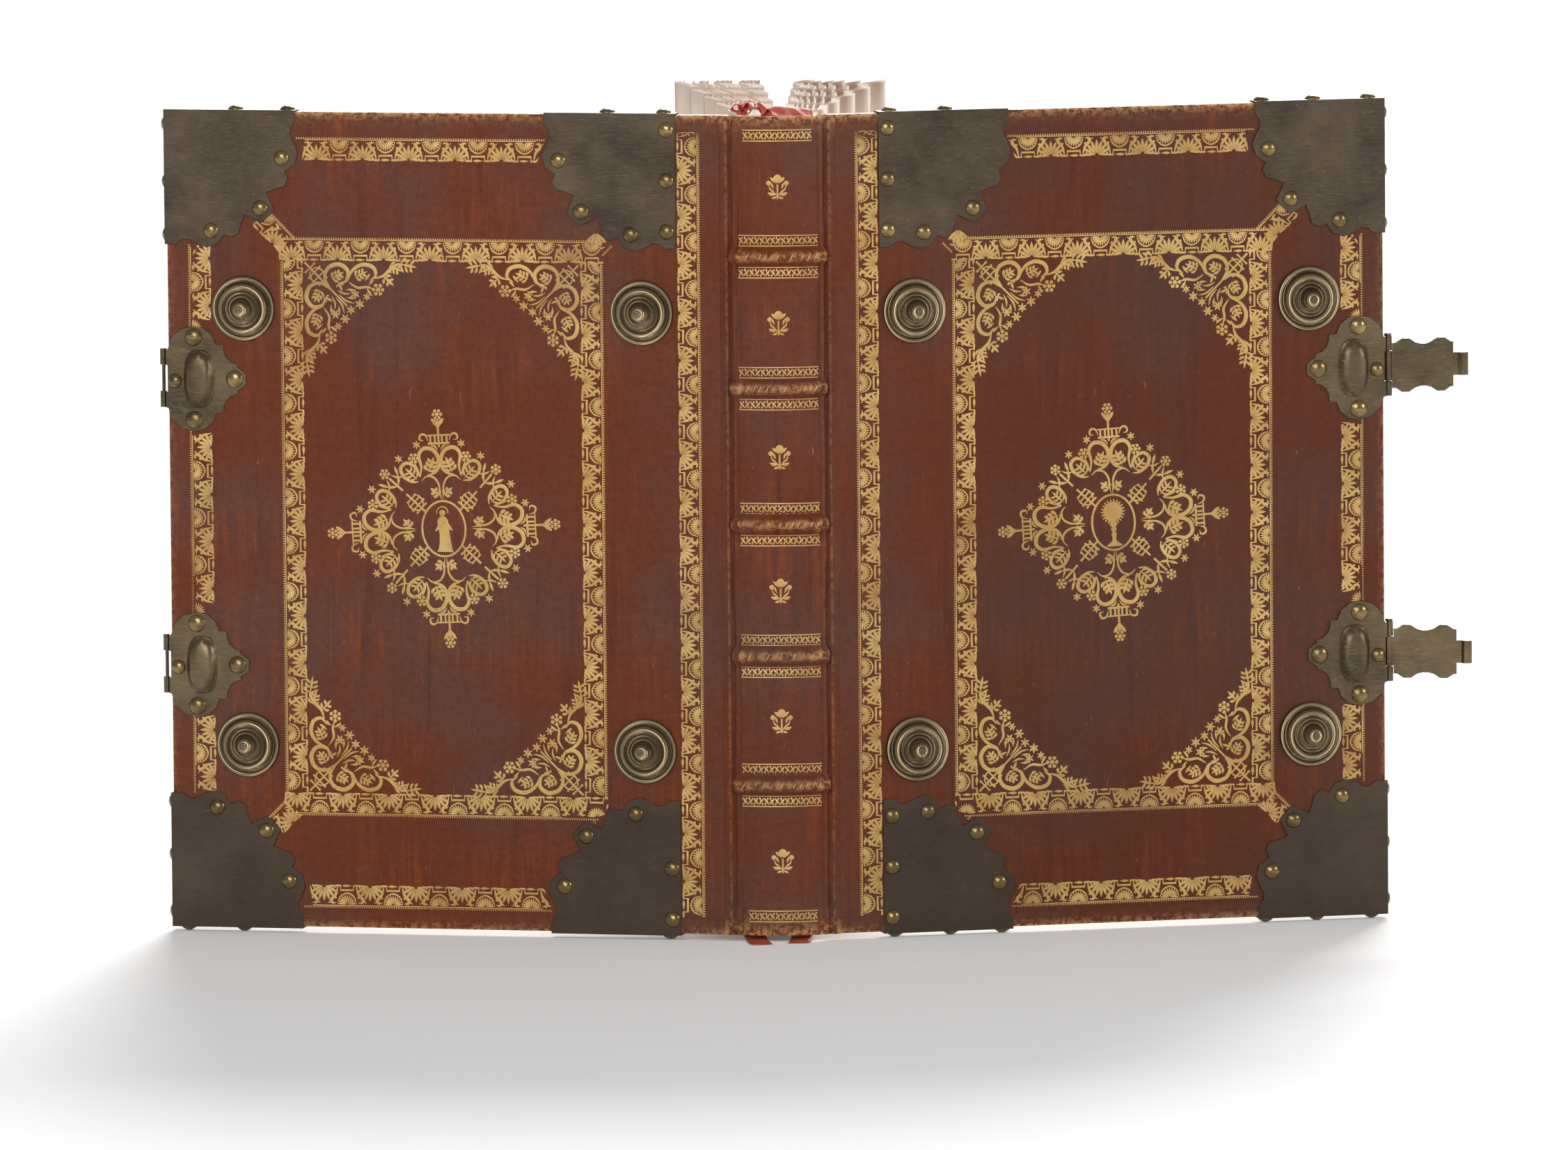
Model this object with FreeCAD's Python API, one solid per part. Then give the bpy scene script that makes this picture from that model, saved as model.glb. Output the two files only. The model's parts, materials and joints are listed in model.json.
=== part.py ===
import FreeCAD, Part
import os
from math import asin, cos, pi, radians, sin, sqrt

# Antique leather book on wooden boards, standing open on its tail edge. Millimetres.
# X runs along the open book, Y from the spine into the leaves, Z up the spine.
# The origin is on the floor under the middle of the spine, between the two cover joints.
# A cover is drawn lying flat open: u from its joint to the fore edge, w from its outer
# face inwards, v from its tail edge to its head. It is then swung to its resting angle.

Vector = FreeCAD.Vector

# Covers
board_width = 268.0
board_height = 380.0
wood_thickness = 6.0
leather_thickness = 0.8
leather_turn_in = 18.0
pastedown_thickness = 0.5
edge_round = 1.2
cover_rest_angle = 13.5
joint_clearance = 0.4

# Spine
joint_spacing = 44.0
spine_rise = 5.0
spine_leather_thickness = 1.2
band_heights = (70.0, 130.0, 191.0, 254.0, 315.0)
band_width = 8.5
band_rise = 3.0
cord_width = 5.4
cord_rise = 2.4

# Leaves
leaf_length = 256.0
leaf_square = 5.0
leaf_base_depth = 13.0
leaf_foot_length = 12.0
leaf_clearance = 0.4
leaf_wave = 1.3
leaf_wave_count = 2.2
leaf_bend_power = 1.35
endband_radius = 2.0
endband_margin = 1.5

# Brass corner pieces
corner_reach = 62.0
corner_thickness = 0.8
corner_offset_from_joint = 25.5

# Nails
nail_radius = 3.7
nail_rise = 2.0
nail_flat_radius = 1.3
nail_shank_width = 2.0
nail_shank_length = 5.0
nail_sides = 8
edge_nail_shank_length = 6.0

# Bosses
boss_radius = 15.0
boss_height = 10.0
boss_pin_radius = 1.5
boss_inset_fore = 36.5
boss_inset_joint = 42.0
boss_height_from_tail = 85.0
boss_height_from_head = 91.5

# Clasp plates and catch plates
fastening_heights = (122.0, 255.5)
plate_width = 38.0
plate_height = 48.8
plate_thickness = 0.8
plate_dome_width = 14.8
plate_dome_height = 27.2
plate_dome_rise = 3.4
plate_dome_inset = 15.0
plate_fold_land = 1.5
plate_nail_radius = 4.2
plate_small_nail_radius = 3.4
pin_reach = 3.0

# Clasps
knuckle_radius = 1.9
knuckle_gap = 0.3
knuckle_length = 13.7
plate_knuckle_length = 6.8
pin_radius = 0.8
pin_clearance = 0.08
pin_head_radius = 1.7
pin_head_height = 1.3
clasp_thickness = 1.4
clasp_leaf_length = 31.6
clasp_leaf_height = 21.0
clasp_lobe_rise = 2.2
clasp_lobe_width = 9.4
clasp_lobe_margin = 3.8
tongue_height = 10.6
hook_thickness = 1.1
hook_clearance = 0.4
lower_clasp_swing = 23.0

# Catches
catch_rod_radius = 0.85
catch_ear_radius = 1.65
catch_ear_length = 7.6
catch_free_length = 12.2

# Gilt tooling
gilt_thickness = 0.12
roll_width = 11.0
frame_inset_joint = 60.0
frame_inset_fore = 54.0
frame_inset_tail = 52.0
frame_inset_head = 58.0
joint_roll_start = 14.0
joint_roll_margin = 8.0
border_inset_fore = 10.0
border_inset_head = 11.5
border_inset_tail = 9.0
fan_radius = 57.0
fan_scallops = 5
fan_scallop_rise = 5.7
lozenge_width = 108.0
lozenge_height = 115.0
medallion_width = 22.0
medallion_height = 28.0
medallion_surround = 2.8
spine_line_width = 1.8
spine_line_offset = 7.0
spine_line_margin = 1.0
spine_tool_radius = 4.2
spine_tool_waist = 1.9
spine_tool_petals = 4
spine_roll_height = 5.0
spine_roll_margin = 6.5
spine_roll_side_margin = 5.0

# Ribbons
ribbon_thickness = 1.0
ribbon_gap = 1.0
ribbon_heap_width = 17.0
ribbon_heap_rise = 5.0
ribbon_heap_depth = 9.0
ribbon_fold_rise = 1.8
ribbon_overhang = 7.0
ribbon_fold_overhang = 2.6
ribbon_pleats = 5
tail_ribbon_width = 7.0
tail_ribbon_depth = 9.0
tail_ribbon_slope = 4.0
tail_ribbon_places = ((-13.0, 17.0), (4.0, 12.0))

# How finely round forms are drawn
arc_chords = 3
bar_sides = 8
dome_sides = 10
boss_sides = 12
oval_sides = 10
endband_sides = 6
spine_facets = 5

# Worked-out places
cover_thickness = leather_thickness + wood_thickness + leather_thickness
half_spacing = joint_spacing / 2
lift = corner_thickness + nail_rise
pin_depth = cover_thickness / 2
pin_u = board_width + pin_reach
clasp_reach = joint_spacing - 2 * pin_depth
spine_half = half_spacing - joint_clearance / 4
spine_radius = (spine_half ** 2 + spine_rise ** 2) / (2 * spine_rise)
spine_centre = spine_radius - spine_rise - joint_clearance / 4
lining_radius = spine_radius - spine_leather_thickness
block_half = half_spacing - cover_thickness - leaf_clearance
leaf_tail = lift + leaf_square
leaf_head = lift + board_height - leaf_square
frame_far = board_width - frame_inset_fore
frame_high = board_height - frame_inset_head
sides = {"front": 1, "back": -1}


def box(x0, y0, z0, x1, y1, z1):
    return Part.makeBox(x1 - x0, y1 - y0, z1 - z0, Vector(x0, y0, z0))


def fused(shapes):
    whole = shapes[0].multiFuse(shapes[1:]) if len(shapes) > 1 else shapes[0]
    return whole.removeSplitter()


def group(shapes):
    return Part.makeCompound(shapes)


def trace(start, steps, point):
    # Each step is an end point, or a point on the way and an end point, for an arc.
    # An arc is cut into short chords.
    corners = [point(start)]
    for step in steps:
        if len(step) == 2:
            corners.append(point(step))
        else:
            bend = Part.Arc(corners[-1], point(step[:2]), point(step[2:])).toShape()
            corners += bend.discretize(Number=arc_chords + 1)[1:]
    return corners[:-1]


def mirrored_steps(start, steps, flip):
    # The same steps walked backwards on the other side of a line of symmetry.
    ends = [start] + [step[-2:] for step in steps]
    back = []
    for index in range(len(steps) - 1, -1, -1):
        middle = [flip(steps[index][:2])] if len(steps[index]) == 4 else []
        pair = middle + [flip(ends[index])]
        back.append(tuple(value for point in pair for value in point))
    return back


def flat(corners):
    return Part.Face(Part.makePolygon(corners + [corners[0]]))


def prism(corners, direction):
    return flat(corners).extrude(direction)


def ring(width, depth, level, sides, turn=0.5):
    # The corners of one level of a turned or pressed form, which stands towards -Y.
    turns = [2 * pi * (index + turn) / sides for index in range(sides)]
    return [Vector(width * cos(a), -level, depth * sin(a)) for a in turns]


def stacked(rings):
    # The solid between rings of corners. A ring of one corner is a point.
    faces = []
    for low, high in zip(rings[:-1], rings[1:]):
        count = max(len(low), len(high))
        for index in range(count):
            after = (index + 1) % count
            corners = [low[index], low[after]] if len(low) > 1 else [low[0]]
            corners += [high[after], high[index]] if len(high) > 1 else [high[0]]
            faces.append(flat(corners))
    faces += [flat(end) for end in (rings[0], rings[-1]) if len(end) > 1]
    return Part.makeSolid(Part.makeShell(faces))


def bar(radius, low, high, x, y, sides, over_flats=False):
    # A round bar along Z, with many sides.
    size = radius / cos(pi / sides) if over_flats else radius
    turns = [2 * pi * (index + 0.5) / sides for index in range(sides)]
    return prism([Vector(x + size * cos(a), y + size * sin(a), low) for a in turns], Vector(0, 0, high - low))


def write(name, shape):
    shape.exportStep("parts/" + name + ".step")


# Placing what belongs to a cover

def cover_angle(side):
    return sides[side] * cover_rest_angle


def place_on_cover(shape, side):
    placed = shape.copy()
    if sides[side] < 0:
        placed = placed.mirror(Vector(0, 0, 0), Vector(1, 0, 0))
    placed.rotate(Vector(0, 0, 0), Vector(0, 0, 1), cover_angle(side))
    placed.translate(Vector(sides[side] * half_spacing, 0, lift))
    return placed


def write_on_cover(name, shape, side):
    write(side + "_" + name, place_on_cover(shape, side))


# The boards, their leather and the paper pasted inside

def board_core():
    skin = leather_thickness
    near = joint_clearance + skin
    return box(near, skin, skin, board_width - skin, skin + wood_thickness, board_height - skin)


def pastedown():
    low = leather_turn_in
    near = joint_clearance + leather_turn_in
    start = leather_thickness + wood_thickness
    return box(
        near, start, low,
        board_width - low, start + pastedown_thickness, board_height - low,
    )


def cover_leather():
    block = box(joint_clearance, 0, 0, board_width, cover_thickness, board_height)
    face_edges = [
        edge for edge in block.Edges
        if all(abs(vertex.Y) < edge_round / 2 for vertex in edge.Vertexes)
        and edge.BoundBox.XMax > board_width / 2
    ]
    block = block.makeFillet(edge_round, face_edges)
    low = leather_turn_in
    window = box(
        joint_clearance + low, leather_thickness + wood_thickness, low,
        board_width - low, cover_thickness + 1, board_height - low,
    )
    return block.cut(board_core()).cut(window)


# Brass corner pieces: a scalloped plate with three lobes, folded over the edges

corner_scallops = (
    (1.0, 0.080),
    (0.958, 0.153, 0.987, 0.226),
    (1.019, 0.331, 0.919, 0.448),
    (0.942, 0.516, 0.855, 0.574),
    (0.774, 0.606),
)
corner_lobe_share = 0.801
corner_nails = ((0.895, 0.345), (0.724, 0.724), (0.345, 0.895))
corner_edge_nails = (0.10, 0.53, 0.93)
joint_side_nails = (0.11, 0.49, 0.87)
joint_side_nail_margin = 0.6
# Edge nails that are lost, by cover and corner, counted from the corner.
lost_edge_nails = {
    ("front", "head_spine_corner"): (2,),
    ("back", "head_fore_corner"): (0,),
    ("back", "head_spine_corner"): (2,),
    ("back", "tail_fore_corner"): (2,),
    ("back", "tail_spine_corner"): (1, 2),
}


def corner_face():
    flip = lambda point: (point[1], point[0])
    start = (1.0, 0.0)
    steps = list(corner_scallops)
    last = steps[-1]
    steps.append((corner_lobe_share, corner_lobe_share, last[1], last[0]))
    steps += mirrored_steps(start, corner_scallops, flip)
    steps += [(0.0, 0.0), start]
    point = lambda p: Vector(p[0] * corner_reach, -corner_thickness, p[1] * corner_reach)
    return prism(trace(start, steps, point), Vector(0, corner_thickness, 0))


def corner_piece(two_edges):
    # Drawn from the board's corner: X along the head edge, Z along the other edge.
    skin = corner_thickness
    start = -skin if two_edges else 0.0
    pieces = [corner_face(), box(start, -skin, -skin, corner_reach, cover_thickness, 0)]
    if two_edges:
        pieces.append(box(-skin, -skin, -skin, 0, cover_thickness, corner_reach))
    return fused(pieces)


def corner_places():
    # Name, u of the plate's own corner, direction along u, at the head or not.
    return (
        ("head_fore_corner", board_width, -1, True),
        ("tail_fore_corner", board_width, -1, False),
        ("head_spine_corner", corner_offset_from_joint, 1, True),
        ("tail_spine_corner", corner_offset_from_joint, 1, False),
    )


def in_corner(shape, u, along, head):
    placed = shape.copy()
    if along < 0:
        placed = placed.mirror(Vector(0, 0, 0), Vector(1, 0, 0))
    if head:
        placed = placed.mirror(Vector(0, 0, 0), Vector(0, 0, 1))
    placed.translate(Vector(u, 0, board_height if head else 0))
    return placed


# Nails

def nail(radius, shank_length, worn=False):
    # The head stands on the plane Y = 0, towards -Y, with the shank behind it.
    # A worn head has a small flat on top.
    base = ring(radius, radius, 0, nail_sides)
    shoulder = ring(radius / sqrt(2), radius / sqrt(2), nail_rise / sqrt(2), nail_sides)
    crown = [Vector(0, -nail_rise, 0)]
    if worn:
        crown = ring(nail_flat_radius, nail_flat_radius, nail_rise, nail_sides)
    head = stacked([base, shoulder, crown])
    half = nail_shank_width / sqrt(2)
    shank = stacked([[Vector(0, shank_length, 0)], ring(half, half, 0, 4)])
    return fused([head, shank])


def face_nail_places(side):
    # (u, v) of the nails on the corner pieces. The front cover has lost one at a
    # lobe of its head corner by the joint, and the back cover one at the tail.
    places = []
    for name, u, along, head in corner_places():
        level = (lambda v: board_height - v) if head else (lambda v: v)
        for index, (p, q) in enumerate(corner_nails):
            if side == "front" and name == "head_spine_corner" and index == 0:
                continue
            places.append((u + along * p * corner_reach, level(q * corner_reach)))
        if along > 0:
            for index, share in enumerate(joint_side_nails):
                if side == "back" and name == "tail_spine_corner" and index == 2:
                    continue
                places.append((u + nail_radius + joint_side_nail_margin, level(share * corner_reach)))
    return places


def face_nails(side):
    template = nail(nail_radius, nail_shank_length)
    nails = []
    for u, v in face_nail_places(side):
        one = template.copy()
        one.translate(Vector(u, -corner_thickness, v))
        nails.append(one)
    return nails


def edge_nails(side):
    # Nails through the folded edges, sorted by the edge that they stand on.
    plain = nail(nail_radius, edge_nail_shank_length)
    worn = nail(nail_radius, edge_nail_shank_length, worn=True)
    places = {"head": [], "tail": [], "fore": []}
    for name, u, along, head in corner_places():
        lost = lost_edge_nails.get((side, name), ())
        for index, share in enumerate(corner_edge_nails):
            if index in lost:
                continue
            one = plain.copy() if head else worn.copy()
            one.rotate(Vector(0, 0, 0), Vector(1, 0, 0), -90 if head else 90)
            stand = board_height + corner_thickness if head else -corner_thickness
            one.translate(Vector(u + along * share * corner_reach, cover_thickness / 2, stand))
            places["head" if head else "tail"].append(one)
        if along > 0:
            continue
        for share in corner_edge_nails:
            one = plain.copy()
            one.rotate(Vector(0, 0, 0), Vector(0, 0, 1), 90)
            v = share * corner_reach
            v = board_height - v if head else v
            one.translate(Vector(board_width + corner_thickness, cover_thickness / 2, v))
            places["fore"].append(one)
    return places


# Turned bosses

def boss():
    # Radius and height as shares: a rim, a cove, a raised ring, a cone and a knob.
    turned = (
        (1.0, 0.0), (1.0, 0.16), (0.80, 0.20), (0.70, 0.46),
        (0.54, 0.40), (0.26, 0.66), (0.22, 0.96),
    )
    levels = [ring(boss_radius * r, boss_radius * r, boss_height * h, boss_sides) for r, h in turned]
    head = stacked(levels + [[Vector(0, -boss_height, 0)]])
    pin_length = leather_thickness + wood_thickness / 2
    pin = stacked([[Vector(0, pin_length, 0)], ring(boss_pin_radius, boss_pin_radius, 0, 4)])
    return fused([head, pin])


def boss_places():
    far = board_width - boss_inset_fore
    high = board_height - boss_height_from_head
    return (
        ("head_fore_boss", far, high),
        ("tail_fore_boss", far, boss_height_from_tail),
        ("head_spine_boss", boss_inset_joint, high),
        ("tail_spine_boss", boss_inset_joint, boss_height_from_tail),
    )


# Clasp plates and catch plates, drawn from the fore edge: X inwards, Z up the edge

plate_outline = (
    (0.09, 0.844, 0.332, 1.0),
    (0.518, 0.902, 0.610, 0.648),
    (0.700, 0.648),
    (0.706, 0.512),
    (0.753, 0.369, 0.879, 0.279),
    (0.874, 0.221),
)
plate_start = (0.0, 0.553)
plate_nails = ((0.33, 0.79), (0.33, -0.79), (0.84, 0.0))
plate_small_nail = (0.095, -0.05)


def plate_face():
    flip = lambda point: (point[0], -point[1])
    last = plate_outline[-1]
    steps = list(plate_outline)
    steps.append((1.0, 0.0, last[0], -last[1]))
    steps += mirrored_steps(plate_start, plate_outline, flip)
    steps.append(plate_start)
    half = plate_height / 2
    point = lambda p: Vector(p[0] * plate_width, -plate_thickness, p[1] * half)
    return prism(trace(plate_start, steps, point), Vector(0, plate_thickness, 0))


def plate_dome():
    # A pressed-up oblong, drawn in towards its crown.
    rise = plate_thickness + plate_dome_rise
    levels = ((1.0, plate_thickness / 2), (0.94, 0.42 * rise), (0.74, 0.82 * rise), (0.34, rise))
    rings = [
        ring(share * plate_dome_width / 2, share * plate_dome_height / 2, level, dome_sides)
        for share, level in levels
    ]
    dome = stacked(rings)
    dome.translate(Vector(plate_dome_inset, 0, 0))
    return dome


def plate_blank():
    return fused([plate_face(), plate_dome()])


def rolled_tube(low, high, outer):
    # A knuckle or ear rolled round its pin beside the board's edge, with the fold to it.
    skin = plate_thickness
    return [
        bar(outer, low, high, -pin_reach, pin_depth, bar_sides),
        box(-skin, -skin, low, 0, pin_depth + outer, high),
        box(-skin, -skin, low, plate_fold_land, 0, high),
        box(-pin_reach, pin_depth - outer / 2, low, -skin, pin_depth + outer / 2, high),
    ]


def clasp_plate():
    start = knuckle_length / 2 + knuckle_gap
    end = start + plate_knuckle_length
    pieces = [plate_blank()]
    for low, high in ((start, end), (-end, -start)):
        pieces += rolled_tube(low, high, knuckle_radius)
    return fused(pieces)


def catch_plate():
    start = catch_free_length / 2
    end = start + catch_ear_length
    pieces = [plate_blank()]
    for low, high in ((start, end), (-end, -start)):
        pieces += rolled_tube(low, high, catch_ear_radius)
    return fused(pieces)


def clasp_pin():
    half = knuckle_length / 2 + knuckle_gap + plate_knuckle_length
    pin = Part.makeCylinder(pin_radius, 2 * half + pin_head_height / 2, Vector(-pin_reach, pin_depth, -half))
    head = bar(pin_head_radius, half, half + pin_head_height, -pin_reach, pin_depth, bar_sides)
    return fused([pin, head])


def catch_rod():
    half = catch_free_length / 2 + catch_ear_length
    return bar(catch_rod_radius, -half, half, -pin_reach, pin_depth, bar_sides)


def plate_nail_group():
    half = plate_height / 2
    large = nail(plate_nail_radius, nail_shank_length)
    small = nail(plate_small_nail_radius, nail_shank_length)
    nails = []
    for place, template in [(p, large) for p in plate_nails] + [(plate_small_nail, small)]:
        one = template.copy()
        one.translate(Vector(place[0] * plate_width, -plate_thickness, place[1] * half))
        nails.append(one)
    return nails


def at_fastening(shape, level):
    # From the plate's own drawing to the cover's, with X turned to run from the joint.
    placed = shape.mirror(Vector(0, 0, 0), Vector(1, 0, 0))
    placed.translate(Vector(board_width, 0, level))
    return placed


# Clasps, drawn from their hinge pin: X along the leaf, Y through it, Z up

def clasp_outline():
    # One side of the leaf: two round lobes with a shallow waist between them.
    rise = clasp_lobe_rise
    length = clasp_leaf_length
    half = clasp_leaf_height / 2
    neck = knuckle_length / 2
    start = knuckle_radius + knuckle_gap
    near, far = clasp_lobe_margin, length - clasp_lobe_margin / 3
    steps = (
        (start, neck),
        (start, half),
        (near, half),
        (near + clasp_lobe_width / 2, half + rise, near + clasp_lobe_width, half),
        ((near + far) / 2, half - rise / 3, far - clasp_lobe_width, half),
        (far - clasp_lobe_width / 2, half + rise, far, half),
        (length, half),
        (length, tongue_height / 2),
    )
    return (0.0, neck), steps


def clasp_leaf():
    start, steps = clasp_outline()
    flip = lambda point: (point[0], -point[1])
    tip = clasp_reach - catch_rod_radius - hook_clearance
    outline = list(steps)
    outline += [(tip, tongue_height / 2), (tip, -tongue_height / 2)]
    outline.append((steps[-1][0], -steps[-1][1]))
    outline += mirrored_steps(start, steps, flip)
    outline.append(start)
    half = clasp_thickness / 2
    point = lambda p: Vector(p[0], -half, p[1])
    return prism(trace(start, outline, point), Vector(0, clasp_thickness, 0))


def clasp_hook():
    # The tongue's end arches over the rod and turns down just past it.
    half = tongue_height / 2
    outer = catch_rod_radius + hook_clearance + hook_thickness
    ring_bar = bar(outer, -half, half, clasp_reach, 0, bar_sides, True)
    below = box(
        clasp_reach - 2 * outer, clasp_thickness / 2, -half,
        clasp_reach + 2 * outer, 2 * outer, half,
    )
    return ring_bar.cut(below)


def clasp():
    half = knuckle_length / 2
    tongue = tongue_height / 2
    pieces = [clasp_leaf(), bar(knuckle_radius, -half, half, 0, 0, bar_sides), clasp_hook()]
    bore = Part.makeCylinder(pin_radius + pin_clearance, knuckle_length, Vector(0, 0, -half))
    room = catch_rod_radius + hook_clearance
    rod_room = bar(room, -tongue, tongue, clasp_reach, 0, bar_sides, True)
    mouth = box(clasp_reach - room, 0, -tongue, clasp_reach + room, 2 * room, tongue)
    return fused(pieces).cut(bore).cut(rod_room).cut(mouth)


def clasp_on_cover(level, swing):
    placed = clasp()
    placed.rotate(Vector(0, 0, 0), Vector(0, 0, 1), -swing)
    placed.translate(Vector(pin_u, pin_depth, level))
    return placed


# Gilt tooling on the covers

def gilt_field(u0, v0, u1, v1):
    return box(u0, -gilt_thickness, v0, u1, 0, v1)


def gilt_frame():
    whole = gilt_field(frame_inset_joint, frame_inset_tail, frame_far, frame_high)
    inner = gilt_field(
        frame_inset_joint + roll_width, frame_inset_tail + roll_width,
        frame_far - roll_width, frame_high - roll_width,
    )
    return whole.cut(inner)


def gilt_borders():
    high = board_height - border_inset_head
    far = board_width - border_inset_fore
    near = corner_offset_from_joint
    return group([
        gilt_field(joint_roll_start, joint_roll_margin, joint_roll_start + roll_width,
                   board_height - joint_roll_margin),
        gilt_field(near, high - roll_width, far, high),
        gilt_field(near, border_inset_tail, far, border_inset_tail + roll_width),
        gilt_field(far - roll_width, border_inset_tail + 2 * roll_width, far, high - 2 * roll_width),
    ])


def gilt_fan():
    # A quarter fan in the frame's corner with a scalloped rim.
    rim = fan_radius - fan_scallop_rise
    spread = pi / 2 / fan_scallops
    start = (rim, 0.0)
    steps = []
    for index in range(fan_scallops):
        middle = (index + 0.5) * spread
        end = (index + 1) * spread
        steps.append((fan_radius * cos(middle), fan_radius * sin(middle), rim * cos(end), rim * sin(end)))
    steps += [(0.0, 0.0), start]
    point = lambda p: Vector(p[0], -gilt_thickness, p[1])
    return prism(trace(start, steps, point), Vector(0, gilt_thickness, 0))


def gilt_fans():
    fans = []
    inset = roll_width
    for u, along in ((frame_inset_joint + inset, 1), (frame_far - inset, -1)):
        for v, up in ((frame_inset_tail + inset, 1), (frame_high - inset, -1)):
            fan = gilt_fan()
            if along < 0:
                fan = fan.mirror(Vector(0, 0, 0), Vector(1, 0, 0))
            if up < 0:
                fan = fan.mirror(Vector(0, 0, 0), Vector(0, 0, 1))
            fan.translate(Vector(u, 0, v))
            fans.append(fan)
    return group(fans)


def oval(width, height, u, v):
    corners = ring(width / 2, height / 2, gilt_thickness, oval_sides)
    shape = prism(corners, Vector(0, gilt_thickness, 0))
    shape.translate(Vector(u, 0, v))
    return shape


def gilt_centre():
    # A lozenge with drawn-in sides, open at the middle round an oval medallion.
    half_u = lozenge_width / 2
    half_v = lozenge_height / 2
    middle = (frame_inset_joint + frame_far) / 2
    centre = (frame_inset_tail + frame_high) / 2
    draw = 0.42
    steps = (
        (draw * half_u, draw * half_v, 0.0, half_v),
        (-draw * half_u, draw * half_v, -half_u, 0.0),
        (-draw * half_u, -draw * half_v, 0.0, -half_v),
        (draw * half_u, -draw * half_v, half_u, 0.0),
    )
    point = lambda p: Vector(middle + p[0], -gilt_thickness, centre + p[1])
    lozenge = prism(trace((half_u, 0.0), steps, point), Vector(0, gilt_thickness, 0))
    surround = 2 * medallion_surround
    opening = oval(medallion_width + surround, medallion_height + surround, middle, centre)
    medallion = oval(medallion_width, medallion_height, middle, centre)
    return group([lozenge.cut(opening), medallion])


# Spine

def spine_corners(radius):
    # The rounded spine seen from its end, as flat facets from joint to joint.
    reach = asin(spine_half / spine_radius)
    turns = [reach * (2 * index / spine_facets - 1) for index in range(spine_facets + 1)]
    return [Vector(radius * sin(a), spine_centre - radius * cos(a), 0) for a in turns]


def spine_ring(inner, outer, level):
    corners = spine_corners(outer) + spine_corners(inner)[::-1]
    return [corner + Vector(0, 0, level) for corner in corners]


def behind_joints(low, high, inset=0.0):
    half = spine_half - inset
    return box(-half, -joint_spacing, low, half, -joint_clearance / 4, high)


def spine_strip(inner, outer, low, high, inset=0.0):
    # A strip of the rounded spine, between two radii and two heights.
    strip = prism(spine_ring(inner, outer, low), Vector(0, 0, high - low))
    return strip.common(behind_joints(low, high, inset))


def band(level):
    # A rounded ridge that runs across the spine at one height.
    half = band_width / 2
    profile = ((-1.0, 0.0), (-0.55, 1.0), (0.55, 1.0), (1.0, 0.0))
    rings = [
        spine_ring(lining_radius, spine_radius + share * band_rise, level + place * half)
        for place, share in profile
    ]
    return stacked(rings).common(behind_joints(level - half, level + half))


def sewing_cords():
    half = cord_width / 2
    return [
        spine_strip(lining_radius, lining_radius + cord_rise, lift + level - half, lift + level + half)
        for level in band_heights
    ]


def spine_leather(cords):
    shell = spine_strip(lining_radius, spine_radius, lift, lift + board_height)
    ridges = [band(lift + level) for level in band_heights]
    return fused([shell] + ridges).cut(group(cords))


def spine_gilt_lines():
    half = spine_line_width / 2
    gilt_radius = spine_radius + gilt_thickness
    centres = [lift + level + way * spine_line_offset for level in band_heights for way in (-1, 1)]
    strips = [
        spine_strip(spine_radius, gilt_radius, z - half, z + half, spine_line_margin)
        for z in centres
    ]
    top = lift + board_height - spine_roll_margin - spine_roll_height
    for low in (lift + spine_roll_margin, top):
        high = low + spine_roll_height
        strips.append(spine_strip(spine_radius, gilt_radius, low, high, spine_roll_side_margin))
    return strips


def spine_gilt_tools():
    # A small four-petalled flower on the middle facet of each panel.
    face = spine_centre - spine_radius * cos(asin(spine_half / spine_radius) / spine_facets)
    edges = (0.0,) + band_heights + (board_height,)
    tools = []
    for low, high in zip(edges[:-1], edges[1:]):
        middle = lift + (low + high) / 2
        corners = []
        for index in range(2 * spine_tool_petals):
            size = spine_tool_radius if index % 2 == 0 else spine_tool_waist
            turn = pi * index / spine_tool_petals
            corners.append(Vector(size * sin(turn), face - gilt_thickness, middle + size * cos(turn)))
        tools.append(prism(corners, Vector(0, gilt_thickness, 0)))
    return tools


# Leaves: bunches fanned out behind the spine, each with its waves

# Where each bunch ends, how thick it is there, and its share of the pressed block.
leaf_bunches = (
    (-41.0, 4.6, 3.1), (-34.6, 0.9, 0.9), (-30.0, 3.8, 2.5), (-20.8, 8.0, 5.0),
    (-8.6, 8.0, 5.0), (17.6, 5.0, 3.4), (23.6, 1.0, 1.0), (29.0, 1.0, 1.0),
    (34.6, 1.0, 1.0), (42.4, 1.4, 1.0), (53.0, 4.6, 3.2),
)


def leaf_edges():
    # For each bunch, its left and right edge at the block and at the far end.
    total = sum(bunch[2] for bunch in leaf_bunches)
    scale = 2 * block_half / total
    left = -block_half
    edges = []
    for far, thick, share in leaf_bunches:
        right = left + share * scale
        edges.append((left, right, far - thick / 2, far + thick / 2))
        left = right
    return edges


def leaf_point(near, far, along):
    # A leaf leaves the block straight, then bends out and waves along its length.
    length = sqrt((leaf_length - leaf_base_depth) ** 2 - (far - near) ** 2)
    wave = leaf_wave * along * sin(2 * pi * leaf_wave_count * along)
    across = near + (far - near) * along ** leaf_bend_power + wave
    return Vector(across, leaf_base_depth + length * along, 0)


def leaf_plan():
    stations = (0.12, 0.3, 0.48, 0.66, 0.84, 1.0)
    edges = leaf_edges()
    points = [Vector(-block_half, 0, 0), Vector(-block_half, leaf_base_depth, 0)]
    for index, (near_left, near_right, far_left, far_right) in enumerate(edges):
        if index:
            points.append(Vector(near_left, leaf_base_depth, 0))
        points += [leaf_point(near_left, far_left, along) for along in stations]
        points += [leaf_point(near_right, far_right, along) for along in reversed(stations)]
    points += [Vector(block_half, leaf_base_depth, 0), Vector(block_half, 0, 0)]
    return points


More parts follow.
